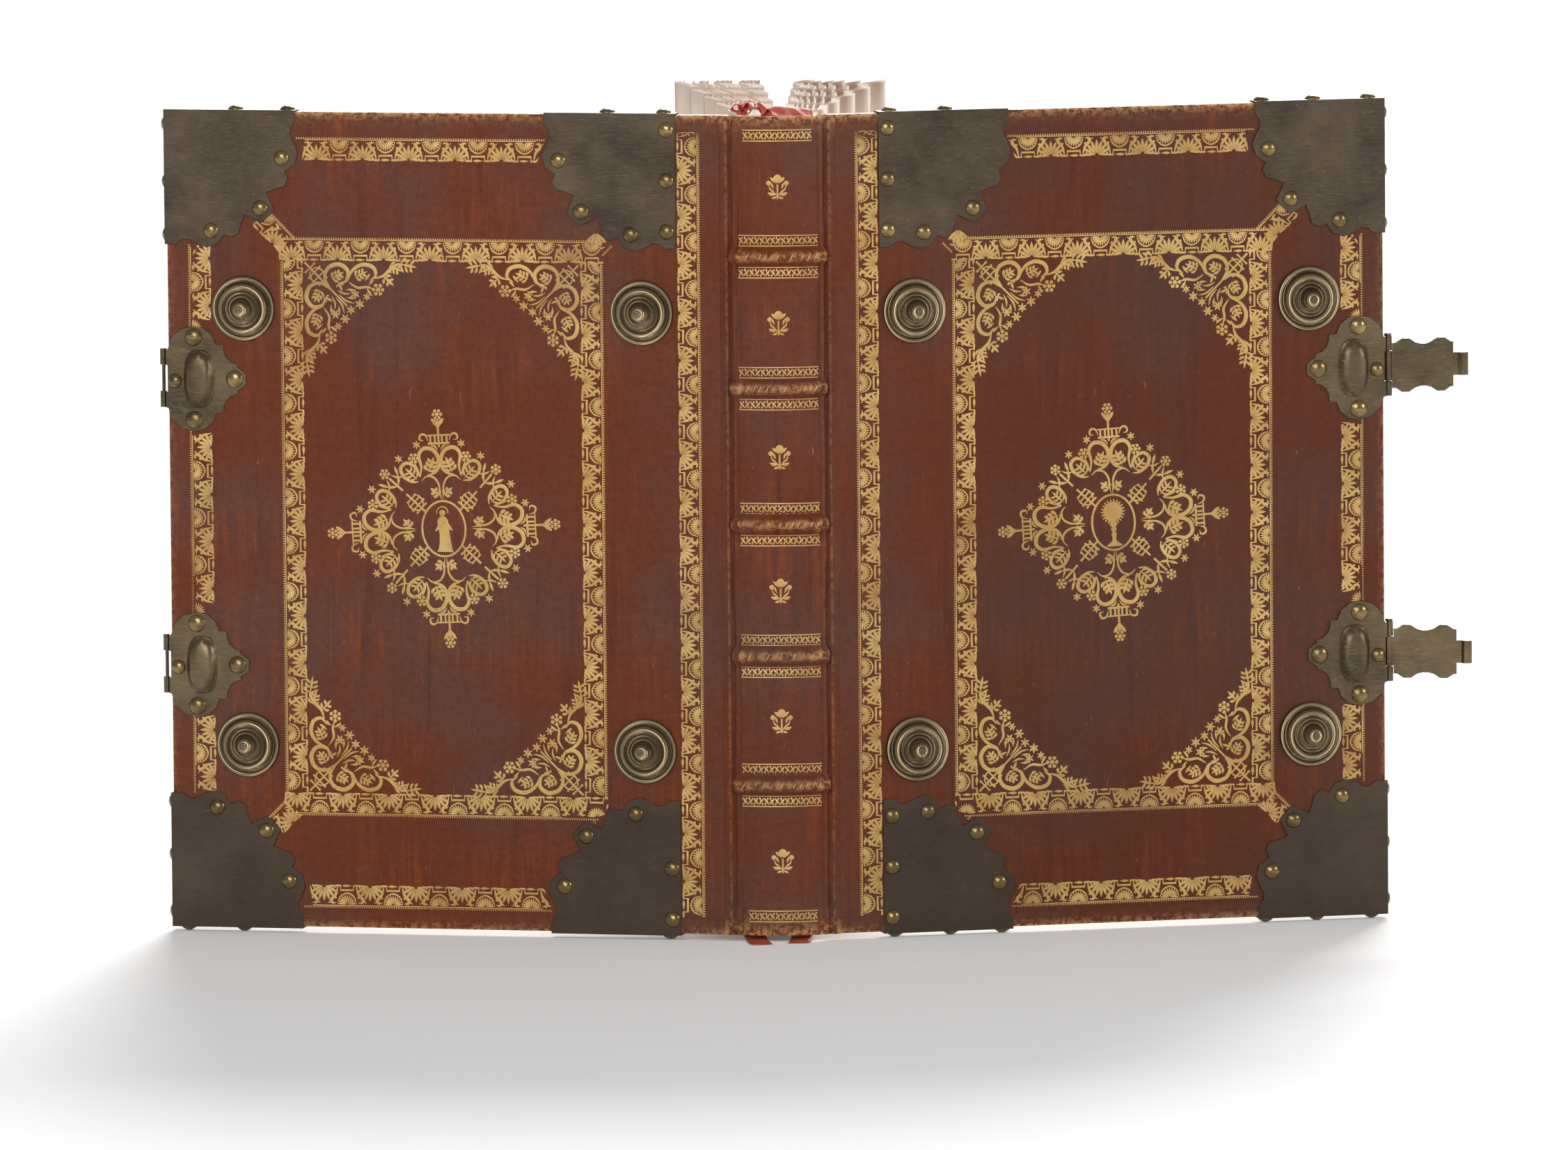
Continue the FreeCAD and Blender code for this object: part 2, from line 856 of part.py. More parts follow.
def text_block():
    # The leaves sag from the squares at the spine until their tail rests on the floor.
    tall = Vector(0, 0, board_height + lift)
    fan = prism(leaf_plan(), tall)
    back = prism(spine_corners(lining_radius), tall).common(behind_joints(0, board_height + lift))
    root = box(-block_half, -joint_clearance, 0, block_half, joint_clearance, board_height + lift)
    whole = fused([fan, back, root])
    start = spine_centre - spine_radius - 1
    foot = leaf_length - leaf_foot_length
    side = [
        Vector(-joint_spacing * 2, start, leaf_tail), Vector(-joint_spacing * 2, leaf_base_depth, leaf_tail),
        Vector(-joint_spacing * 2, foot, 0), Vector(-joint_spacing * 2, leaf_length + 1, 0),
        Vector(-joint_spacing * 2, leaf_length + 1, leaf_head - leaf_tail),
        Vector(-joint_spacing * 2, foot, leaf_head - leaf_tail),
        Vector(-joint_spacing * 2, leaf_base_depth, leaf_head), Vector(-joint_spacing * 2, start, leaf_head),
    ]
    return whole.common(prism(side, Vector(joint_spacing * 4, 0, 0)))


def endband(level, up):
    # A band sewn over a core, on the edge of the leaves behind the spine leather.
    behind = spine_centre - lining_radius * cos(asin(block_half / lining_radius))
    y = behind + endband_margin + endband_radius
    z = level + up * endband_radius
    turns = [2 * pi * index / endband_sides for index in range(endband_sides)]
    size = endband_radius / cos(pi / endband_sides)
    corners = [Vector(-block_half, y + size * cos(a), z + size * sin(a)) for a in turns]
    return prism(corners, Vector(2 * block_half, 0, 0))


# Ribbons at the head and the tail

def head_ribbon():
    # A heap of folded silk over the left joint, and one flat fold of it to the right.
    # Below the head of the boards it keeps between the closed covers.
    near = endband_margin + 2 * endband_radius + ribbon_gap
    over = lift + board_height + 2 * joint_clearance
    side = block_half - joint_clearance
    left = -side - ribbon_overhang
    pitch = ribbon_heap_width / ribbon_pleats
    outline = [(-side, leaf_head), (-side, over), (left, over)]
    for index in range(ribbon_pleats):
        start = left + pitch * index
        top = over + ribbon_heap_rise * (0.8 + 0.2 * cos(2.3 * index))
        outline += [(start + 0.25 * pitch, top), (start + 0.6 * pitch, top)]
        outline.append((start + pitch, over + ribbon_fold_rise))
    right = side + ribbon_fold_overhang
    outline += [(right, over + ribbon_fold_rise / 2), (right, over), (side, over), (side, leaf_head)]
    corners = [Vector(x, near, z) for x, z in outline]
    return prism(corners, Vector(0, ribbon_heap_depth, 0))


def tail_ribbon(x, reach):
    # It comes out of the leaves at their tail, and its end lies forward on the floor.
    thick = ribbon_thickness
    start = tail_ribbon_depth
    drop = start - tail_ribbon_slope
    outline = [(start, leaf_tail), (drop, 0), (-reach, 0), (-reach, thick), (drop - thick / 2, thick),
               (start - thick, leaf_tail)]
    corners = [Vector(x, y, z) for y, z in outline]
    return prism(corners, Vector(tail_ribbon_width, 0, 0))


def write_root():
    cords = sewing_cords()
    write("text_block", text_block())
    write("sewing_cords", group(cords))
    write("spine_leather", spine_leather(cords))
    write("spine_gilt_lines", group(spine_gilt_lines()))
    write("spine_gilt_tools", group(spine_gilt_tools()))
    write("head_endband", endband(leaf_head, 1))
    write("tail_endband", endband(leaf_tail, -1))
    write("head_ribbon", head_ribbon())
    write("tail_ribbons", group([tail_ribbon(x, reach) for x, reach in tail_ribbon_places]))


def write_cover(side):
    write_on_cover("board", board_core(), side)
    write_on_cover("leather", cover_leather(), side)
    write_on_cover("pastedown", pastedown(), side)
    corners = []
    for name, u, along, head in corner_places():
        piece = in_corner(corner_piece(along < 0), u, along, head)
        corners.append(piece)
        write_on_cover(name, piece, side)
    stud = boss()
    for name, u, v in boss_places():
        one = stud.copy()
        one.translate(Vector(u, 0, v))
        write_on_cover(name, one, side)
    edges = edge_nails(side)
    write_on_cover("corner_nails", group(face_nails(side) + edges["head"] + edges["fore"]), side)
    write_on_cover("tail_nails", group(edges["tail"]), side)
    plates = write_fastenings(side)
    covered = group(corners + plates)
    write_on_cover("gilt_frame", gilt_frame().cut(covered), side)
    write_on_cover("gilt_borders", gilt_borders().cut(covered), side)
    write_on_cover("gilt_fans", gilt_fans(), side)
    write_on_cover("gilt_centre", gilt_centre(), side)


def write_fastenings(side):
    plain = clasp_plate() if side == "front" else catch_plate()
    rod = clasp_pin() if side == "front" else catch_rod()
    plate_word = "clasp_plate" if side == "front" else "catch_plate"
    rod_word = "hinge_pin" if side == "front" else "catch_rod"
    plates = []
    nails = []
    for word, level in zip(("lower_", "upper_"), fastening_heights):
        plate = at_fastening(plain, level)
        plates.append(plate)
        write_on_cover(word + plate_word, plate, side)
        write_on_cover(word + rod_word, at_fastening(rod, level), side)
        nails += [at_fastening(one, level) for one in plate_nail_group()]
    write_on_cover("plate_nails", group(nails), side)
    return plates


def write_clasps():
    lower, upper = fastening_heights
    write("lower_clasp", place_on_cover(clasp_on_cover(lower, lower_clasp_swing), "front"))
    write("upper_clasp", place_on_cover(clasp_on_cover(upper, 0.0), "front"))


def print_places():
    # What a record of the joints needs, in metres.
    turn = radians(cover_rest_angle)
    u = pin_u
    w = pin_depth
    x = half_spacing + u * cos(turn) - w * sin(turn)
    y = u * sin(turn) + w * cos(turn)
    print("clasp pin", round(x / 1000, 6), round(y / 1000, 6), "levels", [lift + v for v in fastening_heights])
    print("joint", half_spacing / 1000, "lift", lift, "block half", block_half)


os.makedirs("parts", exist_ok=True)
write_root()
for side in sides:
    write_cover(side)
write_clasps()
print_places()
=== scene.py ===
import json
import random
from math import cos, pi, radians, sin, sqrt
import bpy
import bmesh
import numpy as np
from mathutils import Matrix, Vector


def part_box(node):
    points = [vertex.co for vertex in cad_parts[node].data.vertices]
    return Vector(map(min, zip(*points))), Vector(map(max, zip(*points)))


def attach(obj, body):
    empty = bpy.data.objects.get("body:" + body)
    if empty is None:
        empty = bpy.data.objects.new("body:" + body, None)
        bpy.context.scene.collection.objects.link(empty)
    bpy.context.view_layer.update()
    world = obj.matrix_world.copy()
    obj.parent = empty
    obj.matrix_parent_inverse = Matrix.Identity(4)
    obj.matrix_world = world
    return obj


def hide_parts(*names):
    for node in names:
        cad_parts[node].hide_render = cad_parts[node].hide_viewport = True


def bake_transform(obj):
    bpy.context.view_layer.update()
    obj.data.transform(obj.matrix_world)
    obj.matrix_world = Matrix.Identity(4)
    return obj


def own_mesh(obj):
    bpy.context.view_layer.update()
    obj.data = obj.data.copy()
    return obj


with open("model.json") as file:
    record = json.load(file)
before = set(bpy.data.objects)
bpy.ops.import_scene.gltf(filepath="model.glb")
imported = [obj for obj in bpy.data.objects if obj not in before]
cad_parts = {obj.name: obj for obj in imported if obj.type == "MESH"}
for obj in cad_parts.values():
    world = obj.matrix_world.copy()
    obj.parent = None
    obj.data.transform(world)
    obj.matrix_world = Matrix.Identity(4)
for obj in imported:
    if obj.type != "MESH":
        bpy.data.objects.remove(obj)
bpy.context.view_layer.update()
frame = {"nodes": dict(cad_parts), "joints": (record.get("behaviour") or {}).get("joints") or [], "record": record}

# The book's own sizes, in millimetres. A cover is measured flat: u from its joint to
# the fore edge, w from its outer face inwards, v from the tail edge up to the head.
mm = 0.001
joints = {joint["name"]: joint for joint in frame["joints"]}
halfSpacing = joints["front_cover_joint"]["pos_m"][0] / mm
lift = joints["front_cover_joint"]["pos_m"][2] / mm
restAngle = -radians(joints["front_cover_joint"]["range_deg"][0])
sideSign = {"front": 1, "back": -1}
fasteningLevels = [joints[name + "_clasp_hinge"]["pos_m"][2] / mm - lift for name in ("lower", "upper")]
board = {"width": 268.0, "height": 380.0, "thickness": 7.6, "wave": 0.12, "edgeRadius": 1.6}
rng = random.Random(7)


# Colours are written as they look on screen, 0 to 255
def srgb(red, green, blue):
    def linear(value):
        share = value / 255
        return share / 12.92 if share <= 0.04045 else ((share + 0.055) / 1.055) ** 2.4
    return (linear(red), linear(green), linear(blue), 1.0)


# Placing what belongs to a cover
def onCover(side, points):
    u, w, v = np.asarray(points, float).T
    x = sideSign[side] * (halfSpacing + u * cos(restAngle) - w * sin(restAngle))
    y = u * sin(restAngle) + w * cos(restAngle)
    return np.stack([x, y, lift + v], axis=1) * mm


def coverPlaces(side, points):
    # The other way round: from the room's metres to u, w, v
    x, y, z = (np.asarray(points, float) / mm).T
    x = sideSign[side] * x - halfSpacing
    u = x * cos(restAngle) + y * sin(restAngle)
    w = -x * sin(restAngle) + y * cos(restAngle)
    return np.stack([u, w, z - lift], axis=1)


def leatherSwell(u, v):
    # The boards aren't quite flat: a slow swell that the gilding follows
    return board["wave"] * (np.sin(u / 31.0 + 0.7) * np.cos(v / 43.0) + np.sin(v / 23.0 + u / 57.0))


# How wear and waves die away with distance
def fade(distance, reach):
    return np.exp(-np.abs(distance) / reach)


def hump(place, middle, reach):
    return np.exp(-((place - middle) / reach) ** 2)


# Mesh helpers
def addObject(name, data):
    made = bpy.data.objects.new(name, data)
    bpy.context.scene.collection.objects.link(made)
    return made


def makeMesh(name, verts, faces, material, smooth=True, flat=None, tidy=True):
    mesh = bpy.data.meshes.new(name)
    mesh.from_pydata([tuple(p) for p in verts], [], [tuple(f) for f in faces])
    mesh.validate()
    if flat is not None:
        layer = mesh.attributes.new("flat", "FLOAT_VECTOR", "POINT")
        layer.data.foreach_set("vector", np.asarray(flat, np.float32).ravel())
    if tidy:
        edit = bmesh.new()
        edit.from_mesh(mesh)
        bmesh.ops.recalc_face_normals(edit, faces=edit.faces)
        edit.to_mesh(mesh)
        edit.free()
    mesh.shade_smooth() if smooth else mesh.shade_flat()
    mesh.materials.append(material)
    return addObject(name, mesh)


def setShare(piece, name, values):
    # A share from 0 to 1 at each point, which a material reads by its name
    layer = piece.data.attributes.new(name, "FLOAT", "POINT")
    layer.data.foreach_set("value", np.asarray(values, np.float32))


def gridFaces(rows, columns, start=0, wrap=False):
    # Quads over a grid of rows x columns points; wrap joins the last column to the first
    faces = []
    last = columns if wrap else columns - 1
    for r in range(rows - 1):
        for c in range(last):
            d = (c + 1) % columns
            faces.append((start + r * columns + c, start + r * columns + d,
                          start + (r + 1) * columns + d, start + (r + 1) * columns + c))
    return faces


def rimFaces(rows, columns):
    # Joins the edges of two equal grids that follow each other in the list of points
    shift = rows * columns
    rim = [r * columns for r in range(rows)] + [(rows - 1) * columns + c for c in range(1, columns)]
    rim += [r * columns + columns - 1 for r in range(rows - 2, -1, -1)] + list(range(columns - 2, 0, -1))
    return [(a, b, b + shift, a + shift) for a, b in zip(rim, rim[1:] + rim[:1])]


def shellFaces(rows, columns):
    # Two equal grids, one behind the other, closed round their edges
    behind = [f[::-1] for f in gridFaces(rows, columns, start=rows * columns)]
    return gridFaces(rows, columns) + behind + rimFaces(rows, columns)


def smoothLine(points, steps=6):
    # A smooth line through a few points
    data = np.array(points, float)
    data = np.vstack([2 * data[0] - data[1], data, 2 * data[-1] - data[-2]])
    out = []
    for p, q, r, t in zip(data[:-3], data[1:-2], data[2:-1], data[3:]):
        for k in np.arange(steps) / steps:
            out.append(0.5 * (2 * q + (r - p) * k + (2 * p - 5 * q + 4 * r - t) * k ** 2
                              + (3 * q - p - 3 * r + t) * k ** 3))
    return np.array(out + [data[-2]])


class Bag:
    # Gathers many small parts into one mesh
    def __init__(self):
        self.verts = []
        self.faces = []
        self.count = 0

    def add(self, verts, faces):
        self.verts.append(np.asarray(verts, float))
        self.faces += [tuple(i + self.count for i in f) for f in faces]
        self.count += len(verts)

    def points(self):
        return np.concatenate(self.verts)


def lathe(profile, turns):
    # A turned form from (radius, height) pairs, closed at its top
    angles = np.linspace(0, 2 * pi, turns, endpoint=False)
    verts = []
    for radius, height in profile:
        radius = max(radius, 0.01)
        verts += [(radius * cos(a), radius * sin(a), height) for a in angles]
    faces = gridFaces(len(profile), turns, wrap=True)
    verts.append((0, 0, profile[-1][1]))
    top = (len(profile) - 1) * turns
    faces += [(top + i, top + (i + 1) % turns, len(verts) - 1) for i in range(turns)]
    return np.array(verts), faces


def smoothProfile(corners, steps):
    # Rounds a turned profile: each corner becomes a short curve
    corners = np.array(corners)
    points = [corners[0]]
    for before, here, after in zip(corners[:-2], corners[1:-1], corners[2:]):
        a, b = (before + here) / 2, (here + after) / 2
        for t in np.linspace(0, 1, steps + 1):
            points.append((1 - t) ** 2 * a + 2 * t * (1 - t) * here + t * t * b)
    return points + [corners[-1]]


def finishPiece(piece, body, slot, *nodes):
    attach(piece, body)
    if nodes:
        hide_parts(*nodes)
    return piece


# Material helpers
class Recipe:
    # A material under way: each call adds one node and returns what it puts out
    def __init__(self, name):
        self.material = bpy.data.materials.new(name)
        self.material.use_nodes = True
        self.tree = self.material.node_tree
        self.shader = self.tree.nodes["Principled BSDF"]

    def add(self, kind, **values):
        node = self.tree.nodes.new(kind)
        for key, value in values.items():
            if key in node.inputs:
                node.inputs[key].default_value = value
            else:
                setattr(node, key, value)
        return node

    def link(self, source, target):
        self.tree.links.new(source, target)

    def even(self, name, value):
        # A value that is the same all over the surface
        self.shader.inputs[name].default_value = value

    def share(self, name):
        # What setShare gave the mesh
        return self.add("ShaderNodeAttribute", attribute_name=name).outputs["Fac"]

    def place(self, attribute=None, scale=(1, 1, 1)):
        # Where a point is: in metres, or in the piece's own flat millimetres
        if attribute:
            source = self.add("ShaderNodeAttribute", attribute_name=attribute).outputs["Vector"]
        else:
            source = self.add("ShaderNodeTexCoord").outputs["Object"]
        mapping = self.add("ShaderNodeMapping", Scale=scale)
        self.link(source, mapping.inputs["Vector"])
        return mapping.outputs["Vector"]

    def noise(self, place, scale, detail=4.0, roughness=0.55, distortion=0.0):
        node = self.add("ShaderNodeTexNoise", Scale=scale, Detail=detail, Roughness=roughness,
                        Distortion=distortion)
        self.link(place, node.inputs["Vector"])
        return node.outputs["Fac"]

    def cells(self, place, scale):
        node = self.add("ShaderNodeTexVoronoi", Scale=scale)
        self.link(place, node.inputs["Vector"])
        return node.outputs["Distance"]

    def level(self, source, low, high, out0=0.0, out1=1.0):
        node = self.add("ShaderNodeMapRange")
        for key, value in (("From Min", low), ("From Max", high), ("To Min", out0), ("To Max", out1)):
            node.inputs[key].default_value = value
        self.link(source, node.inputs["Value"])
        return node.outputs["Result"]

    def maths(self, operation, a, b=None):
        node = self.add("ShaderNodeMath", operation=operation)
        for source, target in zip((a, b), node.inputs):
            if source is None:
                continue
            if isinstance(source, (int, float)):
                target.default_value = source
            else:
                self.link(source, target)
        return node.outputs["Value"]

    def mix(self, share, a, b):
        node = self.add("ShaderNodeMix", data_type="RGBA")
        for source, name in ((share, "Factor"), (a, "A"), (b, "B")):
            if isinstance(source, tuple):
                node.inputs[name].default_value = source
            else:
                self.link(source, node.inputs[name])
        return node.outputs["Result"]

    def over(self, colour, tone, source, low, high, most=1.0):
        # Lays a tone over the colour, none where the source is low and the most where it is high
        return self.mix(self.level(source, low, high, 0.0, most), colour, tone)

    def split(self, place):
        node = self.add("ShaderNodeSeparateXYZ")
        self.link(place, node.inputs["Vector"])
        return node.outputs["X"], node.outputs["Y"], node.outputs["Z"]

    def finish(self, colour, roughness, relief, strength, distance):
        bump = self.add("ShaderNodeBump", Strength=strength, Distance=distance)
        self.link(relief, bump.inputs["Height"])
        normal = bump.outputs["Normal"]
        for source, name in ((colour, "Base Color"), (roughness, "Roughness"), (normal, "Normal")):
            self.link(source, self.shader.inputs[name])
        return self.material


# Leather
leatherLook = {
    "red": srgb(104, 49, 23), "purple": srgb(96, 58, 47), "streak": srgb(132, 66, 30),
    "dark": srgb(48, 24, 18), "scuff": srgb(204, 152, 98), "grainSize": 1.3, "gloss": 0.42, "shine": 0.14,
    # How much painted shade darkens the leather towards the front cover
    "frontPaintedShade": 0.42,
}


def leatherMaterial(name, streaky=1.0):
    look = leatherLook
    recipe = Recipe(name)
    place = recipe.place("flat")
    upright = recipe.place("flat", scale=(1.0, 1.0, 0.07))
    colour = recipe.over(look["purple"], look["red"], recipe.noise(place, 0.011, 3.0), 0.40, 0.58)
    # Streaks of the dye run up and down, and in patches only
    streaks = recipe.noise(upright, 0.30, 5.0, 0.62, 0.8)
    patches = recipe.level(recipe.noise(place, 0.02, 3.0), 0.44, 0.62)
    share = recipe.maths("MULTIPLY", recipe.level(streaks, 0.46, 0.72, 0, 0.8 * streaky), patches)
    colour = recipe.mix(share, colour, look["streak"])
    shade = recipe.noise(upright, 0.10, 6.0, 0.6, 1.0)
    colour = recipe.over(colour, look["dark"], shade, 0.44, 0.22, 0.55 * streaky)
    mottle = recipe.noise(place, 0.35, 7.0, 0.68)
    colour = recipe.over(colour, look["dark"], mottle, 0.38, 0.78, 0.42)
    # Painted shade: the leather is painted darker towards +x, so the front cover comes out darker than the back
    # one
    side = recipe.split(recipe.place())[0]
    colour = recipe.over(colour, look["dark"], side, 0.0, 0.12, look["frontPaintedShade"])
    # Tan scuffs where the leather is rubbed, in broken patches
    rubbed = recipe.share("rub")
    patchy = recipe.noise(place, 0.32, 8.0, 0.78)
    share = recipe.maths("MULTIPLY", recipe.level(patchy, 0.45, 0.55), rubbed)
    colour = recipe.mix(share, colour, look["scuff"])
    # Fine scratches and small pale nicks
    scratch = recipe.noise(recipe.place("flat", scale=(1.6, 1.0, 0.16)), 0.9, 2.0, 0.5, 1.2)
    colour = recipe.over(colour, look["scuff"], scratch, 0.75, 0.765, 0.4)
    grain = recipe.cells(place, look["grainSize"])
    pores = recipe.noise(place, 2.6, 4.0)
    pucker = recipe.noise(recipe.place("flat", scale=(0.35, 1.0, 1.0)), 0.16, 3.0, 0.5, 0.6)
    relief = recipe.maths("ADD", recipe.maths("MULTIPLY", grain, 0.30), pores)
    relief = recipe.maths("ADD", relief, recipe.maths("MULTIPLY", streaks, 1.2))
    relief = recipe.maths("ADD", relief, recipe.maths("MULTIPLY", pucker, 3.0))
    recipe.even("Specular IOR Level", look["shine"])
    gloss = recipe.level(mottle, 0.3, 0.75, look["gloss"] - 0.08, look["gloss"] + 0.16)
    return recipe.finish(colour, gloss, relief, 0.42, 0.0005)


# Gold leaf
goldLook = {"gold": srgb(176, 138, 74), "pale": srgb(202, 168, 106), "rubbed": srgb(112, 66, 36)}


def goldMaterial():
    look = goldLook
    recipe = Recipe("goldLeaf")
    place = recipe.place()
    tone = recipe.noise(place, 60.0, 4.0)
    colour = recipe.over(look["gold"], look["pale"], tone, 0.3, 0.7)
    worn = recipe.noise(place, 420.0, 5.0, 0.7)
    colour = recipe.over(colour, look["rubbed"], worn, 0.60, 0.70, 0.8)
    faded = recipe.noise(place, 14.0, 3.0)
    colour = recipe.over(colour, look["rubbed"], faded, 0.52, 0.68, 0.4)
    recipe.even("Metallic", 0.5)
    return recipe.finish(colour, recipe.level(tone, 0.2, 0.8, 0.34, 0.5), worn, 0.2, 0.0001)


# Brass: dark patina in the hollows, rubbed brighter on nails and bosses
brassLook = {
    "plate": {"rough": 0.44, "foot": 0.6, "tones": (srgb(64, 54, 46), srgb(90, 78, 64), srgb(132, 116, 88))},
    "boss": {"rough": 0.27, "foot": 0.2, "tones": (srgb(78, 68, 50), srgb(112, 98, 74), srgb(176, 158, 124))},
    "nail": {"rough": 0.22, "foot": 0.3,
             "tones": (srgb(92, 76, 48), srgb(142, 121, 78), srgb(206, 186, 136))},
    "clasp": {"rough": 0.34, "foot": 0.1,
              "tones": (srgb(72, 62, 48), srgb(110, 95, 72), srgb(160, 142, 106))},
}


def brassMaterial(name, look):
    dark, middle, bright = look["tones"]
    recipe = Recipe(name)
    place = recipe.place()
    polish = recipe.share("polish")
    cloud = recipe.noise(place, 38.0, 5.0, 0.6)
    colour = recipe.over(dark, middle, cloud, 0.32, 0.68)
    brushed = recipe.noise(recipe.place(scale=(0.08, 0.08, 1.0)), 2600.0, 3.0, 0.6)
    colour = recipe.over(colour, bright, brushed, 0.5, 0.8, 0.35)
    spots = recipe.noise(place, 300.0, 6.0, 0.7)
    colour = recipe.over(colour, dark, spots, 0.62, 0.72, 0.7)
    scratch = recipe.noise(recipe.place(scale=(1.0, 1.0, 6.0)), 160.0, 2.0, 0.5, 1.5)
    colour = recipe.over(colour, bright, scratch, 0.70, 0.73, 0.5)
    colour = recipe.mix(polish, colour, bright)
    # The brass is darker towards the foot of the book
    colour = recipe.over(colour, dark, recipe.split(place)[2], 0.13, 0.05, look["foot"])
    recipe.even("Metallic", 0.85)
    rough = recipe.level(cloud, 0.3, 0.7, look["rough"] + 0.1, look["rough"])
    return recipe.finish(colour, rough, recipe.maths("ADD", brushed, spots), 0.12, 0.0002)


# Paper, thread, silk and wood
def paperMaterial(name, light, toned, edge=None):
    recipe = Recipe(name)
    place = recipe.place()
    cloud = recipe.noise(place, 22.0, 6.0, 0.65)
    # Painted light: the leaves towards the front cover are painted paler, as if lit from that side
    side = recipe.level(recipe.split(place)[0], -0.004, 0.012, 0.35, 0.75)
    cloudy = recipe.level(cloud, 0.35, 0.72)
    colour = recipe.mix(recipe.maths("MULTIPLY", cloudy, recipe.maths("SUBTRACT", 1.2, side)), light, toned)
    fibre = recipe.noise(recipe.place(scale=(1, 1, 0.2)), 900.0, 3.0)
    colour = recipe.over(colour, toned, fibre, 0.45, 0.8, 0.15)
    foxing = recipe.noise(place, 60.0, 3.0, 0.5)
    colour = recipe.over(colour, srgb(176, 128, 84), foxing, 0.68, 0.76, 0.35)
    if edge:
        # Dust and browning along the edges, and painted shade on the cockled faces near the head edge
        colour = recipe.mix(recipe.share("dustAndShade"), colour, edge)
    recipe.even("Specular IOR Level", 0.2)
    return recipe.finish(colour, recipe.level(fibre, 0.2, 0.8, 0.7, 0.9), fibre, 0.2, 0.0002)


def threadMaterial(name, first, second, pitch):
    recipe = Recipe(name)
    place = recipe.place()
    along = recipe.split(place)[0]
    wave = recipe.maths("SINE", recipe.maths("MULTIPLY", along, 2 * pi / pitch))
    colour = recipe.over(first, second, wave, -0.3, 0.3)
    fuzz = recipe.noise(place, 1500.0, 4.0)
    colour = recipe.over(colour, second, fuzz, 0.4, 0.8, 0.3)
    return recipe.finish(colour, recipe.level(fuzz, 0, 1, 0.6, 0.9), wave, 0.5, 0.0003)


def silkMaterial():
    recipe = Recipe("ribbonSilk")
    place = recipe.place()
    tone = recipe.noise(place, 120.0, 5.0, 0.6)
    colour = recipe.over(srgb(212, 108, 86), srgb(170, 74, 58), tone, 0.3, 0.7)
    weave = recipe.noise(recipe.place(scale=(1, 0.15, 1)), 3000.0, 2.0)
    # Painted shade: the silk is darker within 2 cm of the floor
    colour = recipe.over(colour, srgb(110, 44, 34), recipe.split(place)[2], 0.02, 0.0, 0.5)
    recipe.even("Specular IOR Level", 0.2)
    return recipe.finish(colour, recipe.level(weave, 0.2, 0.8, 0.45, 0.7), weave, 0.25, 0.0002)


def woodMaterial():
    recipe = Recipe("boardOak")
    rings = recipe.noise(recipe.place(scale=(1, 1, 0.06)), 300.0, 5.0, 0.6, 0.8)
    colour = recipe.over(srgb(124, 88, 54), srgb(170, 128, 82), rings, 0.3, 0.7)
    return recipe.finish(colour, recipe.level(rings, 0.2, 0.8, 0.6, 0.8), rings, 0.3, 0.0003)


leather = leatherMaterial("coverLeather")
spineLeather = leatherMaterial("spineLeather", streaky=1.2)
gold = goldMaterial()
brass = {kind: brassMaterial(kind + "Brass", look) for kind, look in brassLook.items()}
leafPaper = paperMaterial("leafPaper", srgb(255, 246, 234), srgb(236, 208, 182), srgb(150, 102, 76))
pastePaper = paperMaterial("pastedPaper", srgb(214, 200, 170), srgb(190, 170, 132))
endThread = threadMaterial("endbandThread", srgb(176, 66, 52), srgb(214, 196, 160), 0.0024)
hempCord = threadMaterial("hempCord", srgb(158, 132, 92), srgb(186, 164, 122), 0.003)
silk = silkMaterial()
oak = woodMaterial()
print("materials ready")


# The carried-over solids take their finish by the record's slot
finishes = {
    "leather": leather, "board_wood": oak, "pasted_paper": pastePaper, "leaves": leafPaper, "gilding": gold,
    "cord_hemp": hempCord, "endband_thread": endThread, "ribbon_silk": silk, "plate_brass": brass["plate"],
    "nail_brass": brass["nail"], "clasp_brass": brass["clasp"],
}
slots = {part["node"]: part["material_slot"] for part in frame["record"]["subparts"]}
for name, slot in slots.items():
    node = frame["nodes"][name]
    node.data.materials.clear()
    node.data.materials.append(finishes[slot])


# Sheet brass and rod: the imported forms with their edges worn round
wornEdge = {"width": 0.3, "segments": 2, "sharpest": 35.0, "flatness": 0.5, "sameSpot": 0.001}


def wearEdges(name, slot, body):
    mesh = frame["nodes"][name].data.copy()
    edit = bmesh.new()
    edit.from_mesh(mesh)
    bmesh.ops.remove_doubles(edit, verts=edit.verts, dist=wornEdge["sameSpot"] * mm)
    flatness = radians(wornEdge["flatness"])
    bmesh.ops.dissolve_limit(edit, angle_limit=flatness, verts=edit.verts, edges=edit.edges)
    edit.to_mesh(mesh)
    edit.free()
    mesh.shade_smooth()
    piece = addObject(name + "_worn", mesh)
    bevel = piece.modifiers.new("wornEdge", "BEVEL")
    bevel.width = wornEdge["width"] * mm
    bevel.segments = wornEdge["segments"]
    bevel.limit_method = "ANGLE"
    bevel.angle_limit = radians(wornEdge["sharpest"])
    piece.modifiers.new("flatFaces", "WEIGHTED_NORMAL")
    finishPiece(piece, body, slot, name)


for body, names in frame["record"]["behaviour"]["bodies"].items():
    for name in names:
        if slots[name] == "clasp_brass" or (slots[name] == "plate_brass" and "corner" in name):
            wearEdges(name, slots[name], body)
print("sheet brass ready")


# Cover leather: a rounded slab with turn-ins round the pasted paper
cover = {
    "jointEdge": 0.4, "turnIn": 18.0, "lip": 0.15, "paperStep": 0.9, "gridStep": 4.0, "rowGap": 0.9,
    "edgeRows": (0.25, 0.6, 1.0, 1.6), "through": (0, 0.3, 0.8, 1.6, 3.8, 6.0, 6.8, 7.3), "calmEdge": 20.0,
}
hair = 0.01  # close enough to be the same place, in millimetres


def window(low, high):
    # The edges of the opening that the turn-ins leave for the paper
    return low + cover["turnIn"], high - cover["turnIn"]


